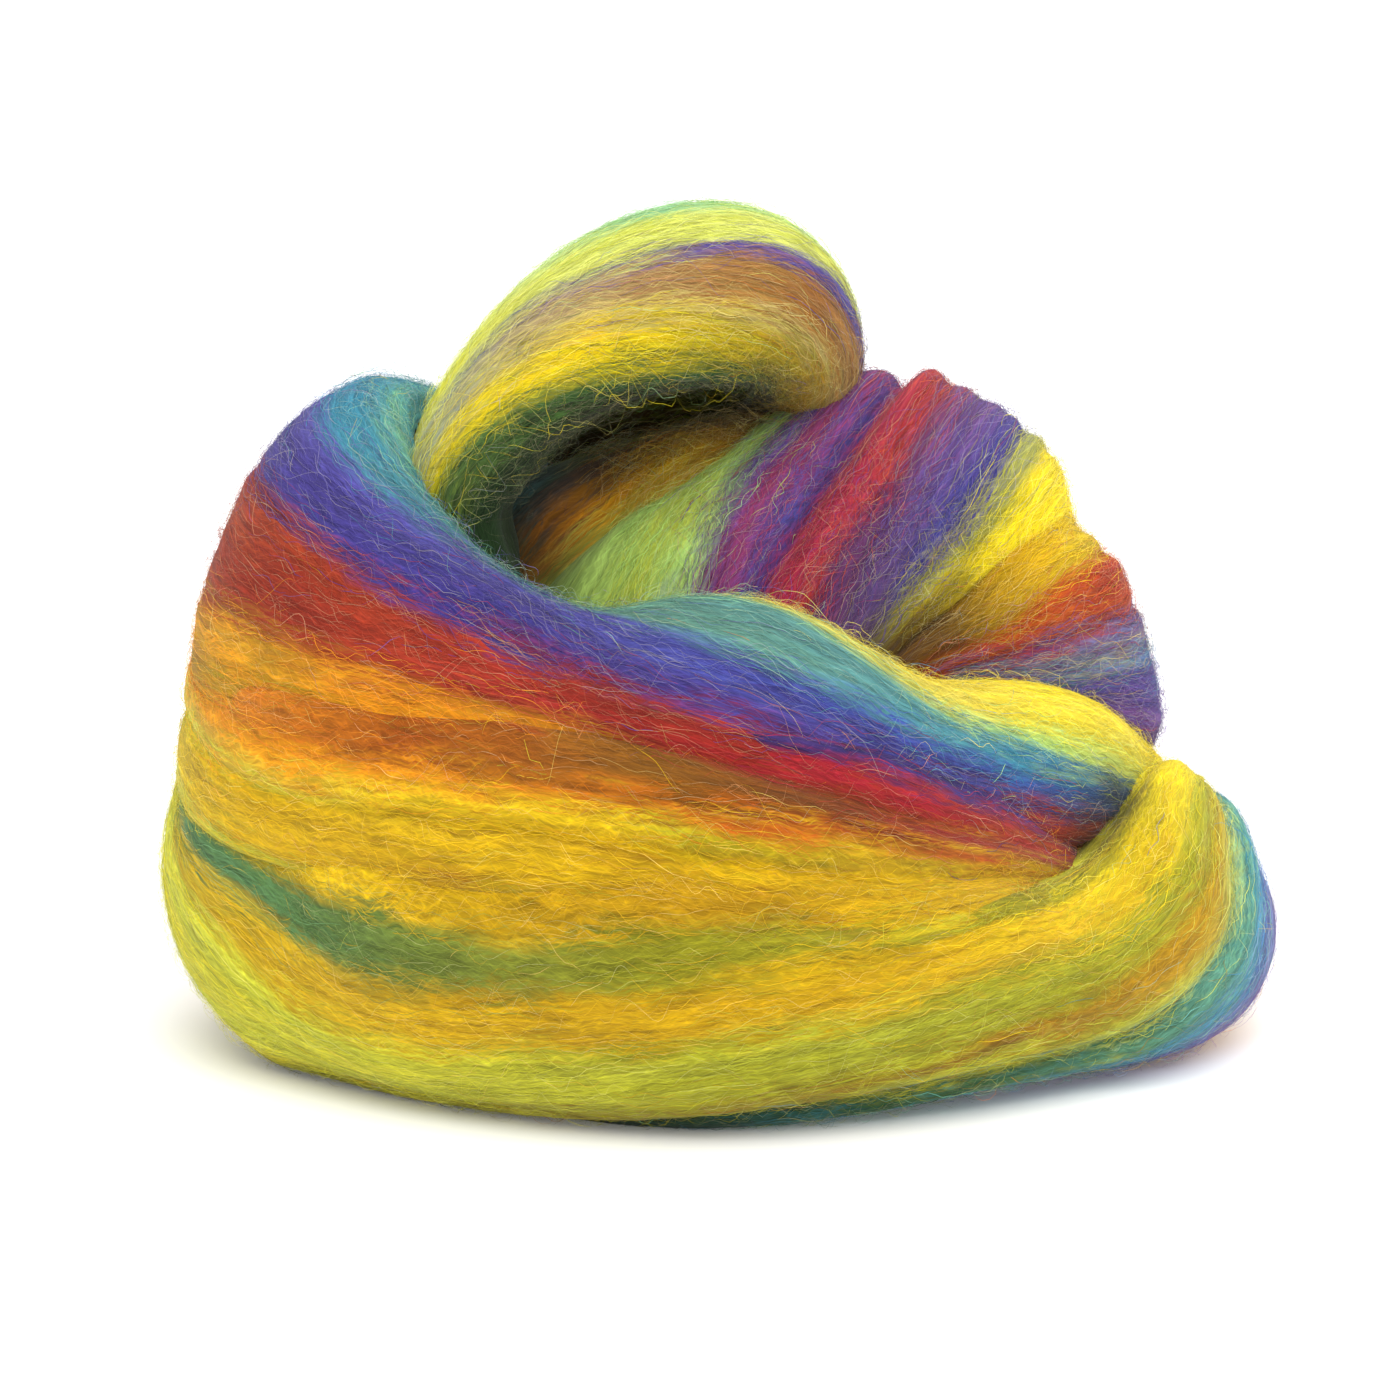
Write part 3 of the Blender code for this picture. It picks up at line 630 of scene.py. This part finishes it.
# upper section, lower section, share of each half's width, swell, sink (mm)
SEAM = ((2.3, 3.3, 0.35, 0.2, 1.0, 1.6), (3, 4, 0.8, 0.35, 1.8, 0.3), (4, 5, 1, 0.55, 2.4, 0), (5, 6.35, 1, 0.8, 2.8, 0),
        (6, 7.55, 1, 1, 3.0, 0), (7, 8.45, 1, 1, 3.0, 0), (8, 9.25, 1, 1, 3.0, 0), (9, 10, 1, 1, 2.8, 0),
        (10, 10.85, 0.8, 0.9, 1.8, 0.9), (10.8, 11.6, 0.5, 0.7, 0.8, 3.8), (11.5, 12.3, 0.3, 0.5, 0.3, 7.5),
        (12.0, 12.8, 0.15, 0.3, 0.1, 9.0))
turns["seam"] = Turn("seam", seam_table(turns["upper_band"], turns["lower_band"], SEAM), 1.0, 11)
for turn in turns.values():
    turn.finish()

# How deep each point of a turn lies inside the bundle (mm, negative = inside)
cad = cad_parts["roving"]
cad_mesh = cad.data
cad_co = np.empty(len(cad_mesh.vertices) * 3)
cad_mesh.vertices.foreach_get("co", cad_co)
cad_co = cad_co.reshape(-1, 3) * 1000.0
cad_faces = [tuple(p.vertices) for p in cad_mesh.polygons]
cad_tree = BVHTree.FromPolygons([Vector(c) for c in cad_co], cad_faces)


def signed_depth(points):
    out = np.empty(len(points))
    for i, p in enumerate(points):
        q, nrm, _, dist = cad_tree.find_nearest(Vector(p))
        out[i] = dist if (Vector(p) - q).dot(nrm) > 0 else -dist
    return out


for turn in turns.values():
    iu = np.unique(np.concatenate([np.arange(0, turn.nu, 2), [turn.nu - 1]]))
    iv = np.arange(0, turn.nv, 2)
    d = signed_depth(turn.p[np.ix_(iu, iv)].reshape(-1, 3)).reshape(len(iu), len(iv))
    d = np.concatenate([d, d[:, :1]], 1)
    full_v = np.array([np.interp(np.arange(turn.nv), np.append(iv, turn.nv), row) for row in d])
    turn.depth = np.array([np.interp(np.arange(turn.nu), iu, full_v[:, j]) for j in range(turn.nv)]).T


# ----------------------------------------------------------------- materials
def add(tree, kind, **values):
    node = tree.nodes.new(kind)
    for key, value in values.items():
        if key in node.inputs:
            node.inputs[key].default_value = value
        else:
            setattr(node, key, value)
    return node


def wool_skin_material():
    """Felted locks: two dyes mixed by fibre noise that runs with the flow."""
    mat = bpy.data.materials.new("dyed_wool_locks")
    mat.use_nodes = True
    t = mat.node_tree
    shader = t.nodes["Principled BSDF"]
    shader.inputs["Roughness"].default_value = 0.92
    shader.inputs["Specular IOR Level"].default_value = 0.08
    shader.inputs["Sheen Weight"].default_value = 0.10
    shader.inputs["Sheen Roughness"].default_value = 0.6
    flow = add(t, "ShaderNodeAttribute", attribute_name="flow")
    # crimp: the fibres wander sideways as they run
    crimp = add(t, "ShaderNodeTexNoise", noise_dimensions="3D")
    crimp.inputs["Scale"].default_value = 1.0
    crimp.inputs["Detail"].default_value = 2.0
    to_crimp = add(t, "ShaderNodeVectorMath", operation="MULTIPLY")
    to_crimp.inputs[1].default_value = (0.22, 0.30, 1.0)
    t.links.new(flow.outputs["Vector"], to_crimp.inputs[0])
    t.links.new(to_crimp.outputs[0], crimp.inputs["Vector"])
    centre = add(t, "ShaderNodeVectorMath", operation="SUBTRACT")
    centre.inputs[1].default_value = (0.5, 0.5, 0.5)
    t.links.new(crimp.outputs["Color"], centre.inputs[0])
    amount = add(t, "ShaderNodeVectorMath", operation="MULTIPLY")
    amount.inputs[1].default_value = (0.0, 1.5, 0.0)
    t.links.new(centre.outputs[0], amount.inputs[0])
    bent = add(t, "ShaderNodeVectorMath", operation="ADD")
    t.links.new(flow.outputs["Vector"], bent.inputs[0])
    t.links.new(amount.outputs[0], bent.inputs[1])

    def streaks(scale, detail, rough):
        s = add(t, "ShaderNodeVectorMath", operation="MULTIPLY")
        s.inputs[1].default_value = scale
        t.links.new(bent.outputs[0], s.inputs[0])
        n = add(t, "ShaderNodeTexNoise", noise_dimensions="3D")
        n.inputs["Scale"].default_value = 1.0
        n.inputs["Detail"].default_value = detail
        n.inputs["Roughness"].default_value = rough
        t.links.new(s.outputs[0], n.inputs["Vector"])
        return n

    def threads(angle, scale, offset, thin):
        """Fine lines that cross the flow at an angle: the crests of a ridged noise."""
        c, d = math.cos(math.radians(angle)), math.sin(math.radians(angle))
        along_ = add(t, "ShaderNodeVectorMath", operation="DOT_PRODUCT")
        along_.inputs[1].default_value = (c * scale[0], d * scale[0], 0.0)
        t.links.new(bent.outputs[0], along_.inputs[0])
        over = add(t, "ShaderNodeVectorMath", operation="DOT_PRODUCT")
        over.inputs[1].default_value = (-d * scale[1], c * scale[1], 0.0)
        t.links.new(bent.outputs[0], over.inputs[0])
        both_ = add(t, "ShaderNodeCombineXYZ")
        both_.inputs["Z"].default_value = offset
        t.links.new(along_.outputs["Value"], both_.inputs["X"])
        t.links.new(over.outputs["Value"], both_.inputs["Y"])
        n = add(t, "ShaderNodeTexNoise", noise_dimensions="3D")
        n.inputs["Scale"].default_value = 1.0
        n.inputs["Detail"].default_value = 1.0
        n.inputs["Roughness"].default_value = 0.5
        t.links.new(both_.outputs["Vector"], n.inputs["Vector"])
        off = add(t, "ShaderNodeMath", operation="SUBTRACT")
        off.inputs[1].default_value = 0.5
        t.links.new(n.outputs["Fac"], off.inputs[0])
        size = add(t, "ShaderNodeMath", operation="ABSOLUTE")
        t.links.new(off.outputs[0], size.inputs[0])
        line = add(t, "ShaderNodeMapRange", interpolation_type="SMOOTHSTEP")
        line.inputs["From Min"].default_value = 0.0
        line.inputs["From Max"].default_value = thin
        line.inputs["To Min"].default_value = 1.0
        line.inputs["To Max"].default_value = 0.0
        t.links.new(size.outputs[0], line.inputs["Value"])
        return line.outputs["Result"]

    def maths(kind, p, q):
        node = add(t, "ShaderNodeMath", operation=kind)
        for socket, value in zip(node.inputs, (p, q)):
            if isinstance(value, (int, float)):
                socket.default_value = value
            else:
                t.links.new(value, socket)
        return node.outputs[0]

    def ranged(value, lo, hi, to_lo, to_hi):
        node = add(t, "ShaderNodeMapRange", interpolation_type="SMOOTHSTEP")
        for key, v in zip(("From Min", "From Max", "To Min", "To Max"), (lo, hi, to_lo, to_hi)):
            node.inputs[key].default_value = v
        t.links.new(value, node.inputs["Value"])
        return node.outputs["Result"]

    fine = streaks((0.13, 3.2, 1.0), 3.0, 0.66)
    locks = streaks((0.035, 0.62, 1.0), 2.0, 0.5)
    dashes = streaks((0.11, 1.5, 1.0), 2.0, 0.6)
    first = threads(5.0, (0.16, 1.7), 3.0, 0.055)
    second = threads(-13.0, (0.18, 1.5), 11.0, 0.050)
    third = threads(19.0, (0.20, 1.2), 23.0, 0.036)
    one = add(t, "ShaderNodeAttribute", attribute_name="dye_one")
    two = add(t, "ShaderNodeAttribute", attribute_name="dye_two")
    mix = add(t, "ShaderNodeMix", data_type="RGBA")
    t.links.new(ranged(maths("ADD", fine.outputs["Fac"], maths("MULTIPLY", second, 0.14)), 0.42, 0.64, 0.0, 1.0), mix.inputs["Factor"])
    t.links.new(one.outputs["Color"], mix.inputs["A"])
    t.links.new(two.outputs["Color"], mix.inputs["B"])
    # Painted shade: the fibre lines lighten the dyes and the gaps and dashes between them darken them, for the shade
    # between fibres; the lock noise adds random tone.
    lines = maths("ADD", maths("MULTIPLY", first, 0.20), maths("ADD", maths("MULTIPLY", second, 0.16), maths("MULTIPLY", third, 0.15)))
    relief = maths("ADD", ranged(fine.outputs["Fac"], 0.28, 0.72, 0.66, 0.98), lines)
    both = maths("MULTIPLY", maths("MULTIPLY", relief, ranged(locks.outputs["Fac"], 0.3, 0.7, 0.82, 1.10)),
                 ranged(dashes.outputs["Fac"], 0.28, 0.50, 0.66, 1.0))
    tone = add(t, "ShaderNodeMix", data_type="RGBA", blend_type="MULTIPLY")
    tone.inputs["Factor"].default_value = 1.0
    t.links.new(mix.outputs["Result"], tone.inputs["A"])
    t.links.new(both, tone.inputs["B"])
    t.links.new(tone.outputs["Result"], shader.inputs["Base Color"])
    bump = add(t, "ShaderNodeBump")
    bump.inputs["Strength"].default_value = 0.6
    bump.inputs["Distance"].default_value = 0.00025
    t.links.new(relief, bump.inputs["Height"])
    t.links.new(bump.outputs["Normal"], shader.inputs["Normal"])
    return mat


def wool_fibre_material():
    """Single fibres: the dye of each, a little uneven along it."""
    mat = bpy.data.materials.new("dyed_wool_fibres")
    mat.use_nodes = True
    t = mat.node_tree
    shader = t.nodes["Principled BSDF"]
    shader.inputs["Roughness"].default_value = 0.75
    shader.inputs["Specular IOR Level"].default_value = 0.15
    shader.inputs["Sheen Weight"].default_value = 0.12
    shader.inputs["Sheen Roughness"].default_value = 0.5
    dye = add(t, "ShaderNodeAttribute", attribute_name="dye")
    where = add(t, "ShaderNodeTexCoord")
    noise = add(t, "ShaderNodeTexNoise", noise_dimensions="3D")
    noise.inputs["Scale"].default_value = 700.0
    noise.inputs["Detail"].default_value = 2.0
    t.links.new(where.outputs["Object"], noise.inputs["Vector"])
    shade = add(t, "ShaderNodeMapRange")
    shade.inputs["From Min"].default_value = 0.3
    shade.inputs["From Max"].default_value = 0.7
    shade.inputs["To Min"].default_value = 0.88
    shade.inputs["To Max"].default_value = 1.1
    t.links.new(noise.outputs["Fac"], shade.inputs["Value"])
    tone = add(t, "ShaderNodeMix", data_type="RGBA", blend_type="MULTIPLY")
    tone.inputs["Factor"].default_value = 1.0
    t.links.new(dye.outputs["Color"], tone.inputs["A"])
    t.links.new(shade.outputs["Result"], tone.inputs["B"])
    t.links.new(tone.outputs["Result"], shader.inputs["Base Color"])
    return mat


SKIN = wool_skin_material()
FIBRE = wool_fibre_material()
pieces = []


def new_mesh(name, points, quads, material):
    """A mesh of quads, points in mm."""
    mesh = bpy.data.meshes.new(name)
    mesh.vertices.add(len(points))
    mesh.vertices.foreach_set("co", (points * MM).astype(np.float32).ravel())
    mesh.loops.add(quads.size)
    mesh.loops.foreach_set("vertex_index", quads.astype(np.int32).ravel())
    mesh.polygons.add(len(quads))
    mesh.polygons.foreach_set("loop_start", np.arange(0, quads.size, 4, dtype=np.int32))
    mesh.update(calc_edges=True)
    mesh.shade_smooth()
    mesh.materials.append(material)
    obj = bpy.data.objects.new(name, mesh)
    bpy.context.collection.objects.link(obj)
    return obj


def set_colour(mesh, name, rgb):
    layer = mesh.attributes.new(name, "FLOAT_COLOR", "POINT")
    rgba = np.ones((len(rgb), 4), np.float32)
    rgba[:, :3] = rgb
    layer.data.foreach_set("color", rgba.ravel())


def set_uv(mesh, quads, uv):
    layer = mesh.uv_layers.new(name="OFBake")
    layer.data.foreach_set("uv", uv[quads.ravel()].astype(np.float32).ravel())


# --------------------------------------------------------------------- skins
UNDER_FIBRE_SHADE = 0.86      # painted shade: the felt under the loose fibres is drawn a little darker, for the shade they cast on it


def add_skin(turn):
    nu, nv = turn.nu, turn.nv
    cols = np.arange(nv + 1)
    wrap = cols % nv
    p = turn.p[:, wrap].reshape(-1, 3)
    phi = cols / nv
    iu = np.repeat(np.arange(nu)[:, None], nv + 1, 1)
    run = np.repeat(turn.run[:, None], nv + 1, 1)
    place = turn.place[:, wrap]
    count = max(int(round(turn.girth / 1.5)), 3)
    dyes = []
    for s in (11, 12):
        shift = value_noise(run / 16.0 + 1, place * count, count, turn.seed * 53 + s)
        shift += 0.5 * value_noise(run / 7.0 + 1, place * count * 2, count * 2, turn.seed * 53 + s + 5)
        shift = shift * 2.6 / turn.across[:, wrap]
        acc = 0
        for k in (-1.1, 0.0, 1.1):                             # soft edges
            at = (phi[None] + shift + k / turn.across[:, wrap]).ravel()
            acc = acc + turn.colour_at(iu.ravel(), at, np.clip(0.15 + 0.75 * turn.streak_at(iu.ravel(), at) * (s - 10.4), 0, 0.9))
        # Painted shade: the fold shade, and the shade under the loose fibres, darken the skin's dyes.
        dyes.append(paint_fold_shade(p, acc / 3) * UNDER_FIBRE_SHADE)
    q = (np.arange(nu - 1)[:, None] * (nv + 1) + np.arange(nv)[None]).ravel()
    quads = np.stack([q, q + 1, q + nv + 2, q + nv + 1], 1)
    d = turn.depth[:, wrap].ravel()
    x, y, z = (p + SHIFT).T
    pocket = (x > -44) & (x < 46) & (z > 46) & (z < 104) & (y < 34) & (y > -10)
    keep = (np.max(d[quads], 1) > -3.5) | ((np.max(d[quads], 1) > -16) & pocket[quads].all(1))
    if turn.name == "seam":
        keep &= (phi[None] < 0.56).repeat(nu, 0).ravel()[quads].all(1) | (phi[None] > 0.94).repeat(nu, 0).ravel()[quads].all(1)
    quads = quads[keep]
    e = p[quads]
    nrm = np.cross(e[:, 1] - e[:, 0], e[:, 3] - e[:, 0])
    c = turn.p.mean(1)
    outward = ((e.mean(1) - c[(q[keep] // (nv + 1))]) * nrm).sum()
    if outward < 0:
        quads = quads[:, ::-1]
    used = np.unique(quads)
    back = np.full(len(p), -1)
    back[used] = np.arange(len(used))
    quads = back[quads]
    obj = new_mesh("wool_" + turn.name, p[used], quads, SKIN)
    uv = np.stack([run / turn.length, np.repeat(phi[None], nu, 0)], -1).reshape(-1, 2) * 0.98 + 0.01
    set_uv(obj.data, quads, uv[used])
    set_colour(obj.data, "dye_one", dyes[0][used])
    set_colour(obj.data, "dye_two", dyes[1][used])
    flow = np.stack([run, place * turn.girth, np.full_like(run, 40.0 * turn.seed)], -1).reshape(-1, 3)
    # the seam column repeats the first one, so its place goes on past the end
    layer = obj.data.attributes.new("flow", "FLOAT_VECTOR", "POINT")
    layer.data.foreach_set("vector", flow[used].astype(np.float32).ravel())
    pieces.append(obj)
    return obj


for turn in turns.values():
    add_skin(turn)

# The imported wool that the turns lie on, seen only down in the creases
core_co = cad_co.copy()
core_n = np.empty(len(cad_mesh.vertices) * 3)
cad_mesh.vertices.foreach_get("normal", core_n)
hollow = smooth(core_co[:, 2], 48, 60) * smooth(-core_co[:, 1], -22, -12) * smooth(-core_co[:, 0], -12, -4)
core_co = core_co - core_n.reshape(-1, 3) * 3.5
cad_faces = [f for f in cad_faces if max(hollow[i] for i in f) < 0.3]
core_co[:, 2] = np.maximum(core_co[:, 2], 0.05)
core_mesh = bpy.data.meshes.new("wool_packed")
core_mesh.from_pydata([tuple(c * MM) for c in core_co], [], cad_faces)
core_mesh.shade_smooth()
core_mesh.materials.append(SKIN)
core = bpy.data.objects.new("wool_packed", core_mesh)
bpy.context.collection.objects.link(core)
gold, olive = DYE["brown"], DYE["olive"]
level = smooth(core_co[:, 2], 10, 70)[:, None]
# Painted shade: these colours are halved, as this wool is seen only down in the creases.
set_colour(core_mesh, "dye_one", (gold * level + olive * (1 - level)) * 0.5)
set_colour(core_mesh, "dye_two", (DYE["dteal"] * level + gold * (1 - level)) * 0.5)
layer = core_mesh.attributes.new("flow", "FLOAT_VECTOR", "POINT")
layer.data.foreach_set("vector", (core_co * (1.0, 1.0, 1.0)).astype(np.float32).ravel())
pieces.append(core)


# -------------------------------------------------------------------- fibres
VIEW = unit(np.array((-0.0, -0.92, 0.38)))     # the side that is dressed most


class Batch:
    """Ribbons collected into one mesh."""

    def __init__(self, name):
        self.name, self.p, self.c, self.m = name, [], [], []
        self.count = 0

    def add(self, points, side, width, colour):
        n, m = points.shape[:2]
        half = side * width[..., None] / 2
        self.p.append(np.stack([points - half, points + half], 2).reshape(n, m * 2, 3))
        self.c.append(np.repeat(colour, 2, axis=1))
        self.m.append(m)
        self.count += n * (m - 1) * 2

    def build(self, material):
        verts, quads, uvs, cols, start, cell = [], [], [], [], 0, 0
        total = sum(len(p) for p in self.p)
        side = int(math.ceil(math.sqrt(total)))
        for p, c, m in zip(self.p, self.c, self.m):
            n = len(p)
            verts.append(p.reshape(-1, 3))
            cols.append(c.reshape(-1, 3))
            base = start + np.arange(n)[:, None] * (m * 2) + np.arange(m - 1)[None] * 2
            quads.append(np.stack([base, base + 1, base + 3, base + 2], -1).reshape(-1, 4))
            k = cell + np.arange(n)
            cx, cy = (k % side), (k // side)
            x = cx[:, None] + np.linspace(0.12, 0.88, m)[None]
            x = np.repeat(x, 2, 1)
            y = cy[:, None] + np.tile(np.array((0.15, 0.85)), m)[None]
            uvs.append(np.stack([x, y], -1).reshape(-1, 2) / side)
            start += n * m * 2
            cell += n
        verts, quads = np.concatenate(verts), np.concatenate(quads)
        verts[:, 2] = np.maximum(verts[:, 2], 0.03)
        obj = new_mesh(self.name, verts, quads, material)
        set_uv(obj.data, quads, np.concatenate(uvs))
        set_colour(obj.data, "dye", np.concatenate(cols))
        pieces.append(obj)
        return obj


def lay_fibres(turn, batch, count, seed, length=(9, 16), width=(0.06, 0.12), lift=(0.05, 0.45),
               steps=16, drift=7.0, wave=(0.15, 0.5), period=(5.0, 9.0), ripple=0.09, roll=50.0,
               stray=0.06, pale=0.2, back=0.35, tone=1.0, spread=2.1, edge=0.0, wash=(0.05, 0.32), band=None):
    """Ribbons along the flow of one turn.  drift: degrees off the flow."""
    rng = np.random.default_rng(seed)
    face = np.clip((turn.n * VIEW).sum(-1), -1, 1)
    seen = (back + (1 - back) * smooth(face, -0.35, 0.15)) * (1 + edge * np.exp(-((face - 0.05) / 0.22) ** 2))
    weight = turn.area * smooth(turn.depth, -2.4, -0.8) * seen
    if band is not None:
        weight = weight * (np.mod(turn.phi - band[0], 1.0) < band[1] - band[0])[None]
    weight = weight.ravel() / weight.sum()
    pick = rng.choice(weight.size, count, p=weight)
    iu0, iv0 = np.divmod(pick, turn.nv)
    phi0 = (iv0 + rng.uniform(-0.5, 0.5, count)) / turn.nv
    run0 = turn.run[iu0] + rng.uniform(-0.5, 0.5, count) * STEP
    k, f = turn.stripe_at(iu0, phi0)
    span = rng.uniform(*length, count)
    t = np.linspace(0, 1, steps + 1)
    run = run0[:, None] + (t[None] - 0.5) * span[:, None]
    run = np.clip(run, 0.0, turn.length)
    fu = np.interp(run, turn.run, np.arange(turn.nu))
    lo, hi = turn.edges[k], turn.edges[k + 1]
    rows = np.arange(count)[:, None]
    i0 = np.clip(np.floor(fu).astype(int), 0, turn.nu - 2)
    ff = fu - i0
    elo = lo[rows, i0] * (1 - ff) + lo[rows, i0 + 1] * ff
    ehi = hi[rows, i0] * (1 - ff) + hi[rows, i0 + 1] * ff
    phi = elo + f[:, None] * (ehi - elo)
    # sideways wander, mm
    s = (t[None] - 0.5) * span[:, None]
    amp = rng.uniform(*wave, count)[:, None]
    lam = rng.uniform(*period, count)[:, None]
    side = amp * np.sin(2 * np.pi * s / lam + rng.uniform(0, 6.28, count)[:, None])
    lam2 = rng.uniform(2.2, 3.6, count)[:, None]
    side += ripple * rng.uniform(0.3, 1.6, count)[:, None] * np.sin(2 * np.pi * s / lam2 + rng.uniform(0, 6.28, count)[:, None])
    side += np.tan(np.radians(np.clip(rng.normal(0, drift, count), -48, 48)))[:, None] * s
    across = turn.sample(turn.across, fu, phi)
    phi = phi + side / across
    lift_to = rng.uniform(lift[0] ** 0.5, lift[1] ** 0.5, count)[:, None] ** 2
    up = lift_to * (np.sin(np.pi * t)[None] ** 0.6) - 0.12 * (1 - np.sin(np.pi * t)[None])
    up += 0.10 * np.sin(2 * np.pi * s / lam2 + rng.uniform(0, 6.28, count)[:, None]) * np.sin(np.pi * t)[None]
    nrm = unit(turn.sample(turn.n, fu, phi))
    pts = turn.sample(turn.p, fu, phi) + nrm * up[..., None]
    tangent = unit(np.gradient(pts, axis=1))
    flat = unit(np.cross(tangent, nrm))
    a = np.radians(rng.uniform(-roll, roll, count))[:, None] + np.radians(35) * np.sin(
        2 * np.pi * t[None] * rng.uniform(0.3, 1.5, count)[:, None] + rng.uniform(0, 6.28, count)[:, None])
    side_dir = flat * np.cos(a)[..., None] + unit(np.cross(tangent, flat)) * np.sin(a)[..., None]
    w = rng.uniform(*width, count)[:, None] * (0.35 + 0.65 * np.sin(np.pi * np.clip(t, 0.02, 0.98))[None] ** 0.5)
    # dye
    off = rng.normal(0, spread, count)
    far = rng.random(count) < stray
    off = np.where(far, rng.normal(0, 9.0, count), off)
    iu_mid = np.clip(np.round(fu[:, steps // 2]).astype(int), 0, turn.nu - 1)
    phi_mid = phi[:, steps // 2] + off / across[:, steps // 2]
    streak = turn.streak_at(iu_mid, phi_mid)
    col = turn.colour_at(iu_mid, phi_mid, (rng.random(count) < 0.12 + 0.6 * streak) * rng.uniform(0.5, 1.0, count))
    # Painted shade: fibres lying in the folds take the folds' painted darkening.
    col = paint_fold_shade(pts[:, steps // 2], col) * np.exp(rng.normal(0, 0.12, count))[:, None] * tone
    bleach = np.where(rng.random(count) < pale, rng.uniform(*wash, count), rng.uniform(0, 0.03, count))[:, None]
    col = col * (1 - bleach) + DYE_CREAM * bleach * tone
    col = np.clip(col, 0.004, 0.95)
    batch.add(pts, side_dir, w, np.repeat(col[:, None], steps + 1, 1))


FIBRES = (   # turn, batch, fibres
    ("upper_band", "fibres_upper", 5600),
    ("lower_band", "fibres_lower", 4860),
    ("seam", "fibres_lower", 1500),
    ("fan", "fibres_fans", 3700),
    ("side_fan", "fibres_fans", 2100),
    ("top_loop", "fibres_top", 3900),
    ("inner_strand", "fibres_top", 1000),
    ("back_ring", "fibres_back", 2000),
    ("back_turn", "fibres_back", 1200),
)
batches = {}
for i, (name, batch, count) in enumerate(FIBRES):
    b, turn = batches.setdefault(batch, Batch(batch)), turns[name]
    lay_fibres(turn, b, int(count * 0.60), 100 + i, steps=10, length=(7, 13), width=(0.035, 0.08), tone=0.97)
    lay_fibres(turn, b, int(count * 0.35), 200 + i, steps=9, length=(5, 9), width=(0.03, 0.065), lift=(0.12, 0.7),
               wave=(0.25, 0.7), period=(3.5, 6.0), drift=15, stray=0.10, pale=0.3)
    # fly-aways: curly, across the flow
    lay_fibres(turn, b, int(count * 0.13), 300 + i, steps=14, length=(4, 10), width=(0.024, 0.044), lift=(0.2, 1.3),
               wave=(0.7, 1.9), period=(3.5, 7.5), drift=24, roll=90, ripple=0.16, stray=0.15, pale=0.7, wash=(0.05, 0.4), tone=1.04)
    # fuzz: short loops that stand off the surface, most at the outline
    lay_fibres(turn, b, int(count * 0.80), 400 + i, steps=5, length=(2.2, 4.6), width=(0.025, 0.05), lift=(0.25, 1.6),
               wave=(0.2, 0.8), period=(2.6, 4.5), drift=40, roll=90, stray=0.12, pale=0.4, back=0.7, edge=3.0)
# curly strays across the mouth of the hollow, and along the rim in front of the fans
lay_fibres(turns["top_loop"], batches["fibres_top"], 170, 501, steps=18, length=(8, 18), width=(0.025, 0.05),
           lift=(0.8, 4.5), wave=(0.8, 2.2), period=(4.0, 8.0), drift=35, roll=90, stray=0.4, pale=0.5,
           wash=(0.05, 0.2), band=(0.46, 0.66), tone=0.85)
lay_fibres(turns["inner_strand"], batches["fibres_top"], 130, 502, steps=18, length=(6, 14), width=(0.025, 0.05),
           lift=(0.5, 3.5), wave=(0.8, 2.0), period=(4.0, 8.0), drift=40, roll=90, stray=0.6, pale=0.9,
           wash=(0.1, 0.4), band=(0.02, 0.30))
lay_fibres(turns["upper_band"], batches["fibres_upper"], 260, 503, steps=14, length=(4, 10), width=(0.03, 0.06),
           lift=(0.5, 3.0), wave=(0.6, 1.8), period=(3.0, 6.5), drift=35, roll=90, stray=0.8, pale=0.8,
           wash=(0.05, 0.35), band=(-0.08, 0.10))

for b in batches.values():
    b.build(FIBRE)
print("triangles", {o.name: sum(len(p.vertices) - 2 for p in o.data.polygons) for o in pieces})

for obj in pieces:
    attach(obj, "root")
    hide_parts("roving")

# ------------------------------------------------------- floor, light, camera
floor_mesh = bpy.data.meshes.new("floor")
floor_mesh.from_pydata([(-25, -25, 0), (25, -25, 0), (25, 25, 0), (-25, 25, 0)], [], [(0, 1, 2, 3)])
floor = bpy.data.objects.new("floor", floor_mesh)
bpy.context.collection.objects.link(floor)
white = bpy.data.materials.new("white_table")
white.use_nodes = True
shader = white.node_tree.nodes["Principled BSDF"]
shader.inputs["Base Color"].default_value = (0.9, 0.9, 0.9, 1)
shader.inputs["Roughness"].default_value = 0.9
shader.inputs["Specular IOR Level"].default_value = 0.0
shader.inputs["Emission Color"].default_value = (1, 1, 1, 1)
shader.inputs["Emission Strength"].default_value = 0.06
floor_mesh.materials.append(white)

world = bpy.data.worlds.new("studio")
world.use_nodes = True
bpy.context.scene.world = world
world.node_tree.nodes["Background"].inputs["Color"].default_value = (1, 1, 1, 1)
world.node_tree.nodes["Background"].inputs["Strength"].default_value = 1.0


sun_data = bpy.data.lights.new("soft_top", "SUN")
sun_data.energy = 2.4
sun_data.angle = 1.1
sun = bpy.data.objects.new("soft_top", sun_data)
sun.rotation_euler = Vector((0.22, -0.40, 1.0)).to_track_quat("Z", "Y").to_euler()
bpy.context.collection.objects.link(sun)

cam_data = bpy.data.cameras.new("camera")
cam_data.lens = 90.0
cam_data.sensor_width = 36.0
cam_data.clip_start = 0.01
cam_data.clip_end = 50.0
camera = bpy.data.objects.new("camera", cam_data)
elevation, distance = math.radians(12.0), 0.5075
target = Vector(((-2.7 - 1.7) * MM, -9.4 * MM, (54.5 - 0.8) * MM))
camera.location = target - Vector((0, math.cos(elevation), -math.sin(elevation))) * distance
camera.rotation_euler = (math.radians(90.0 - 12.0), 0.0, 0.0)
bpy.context.collection.objects.link(camera)
bpy.context.scene.camera = camera

bpy.context.scene.view_settings.view_transform = "Standard"
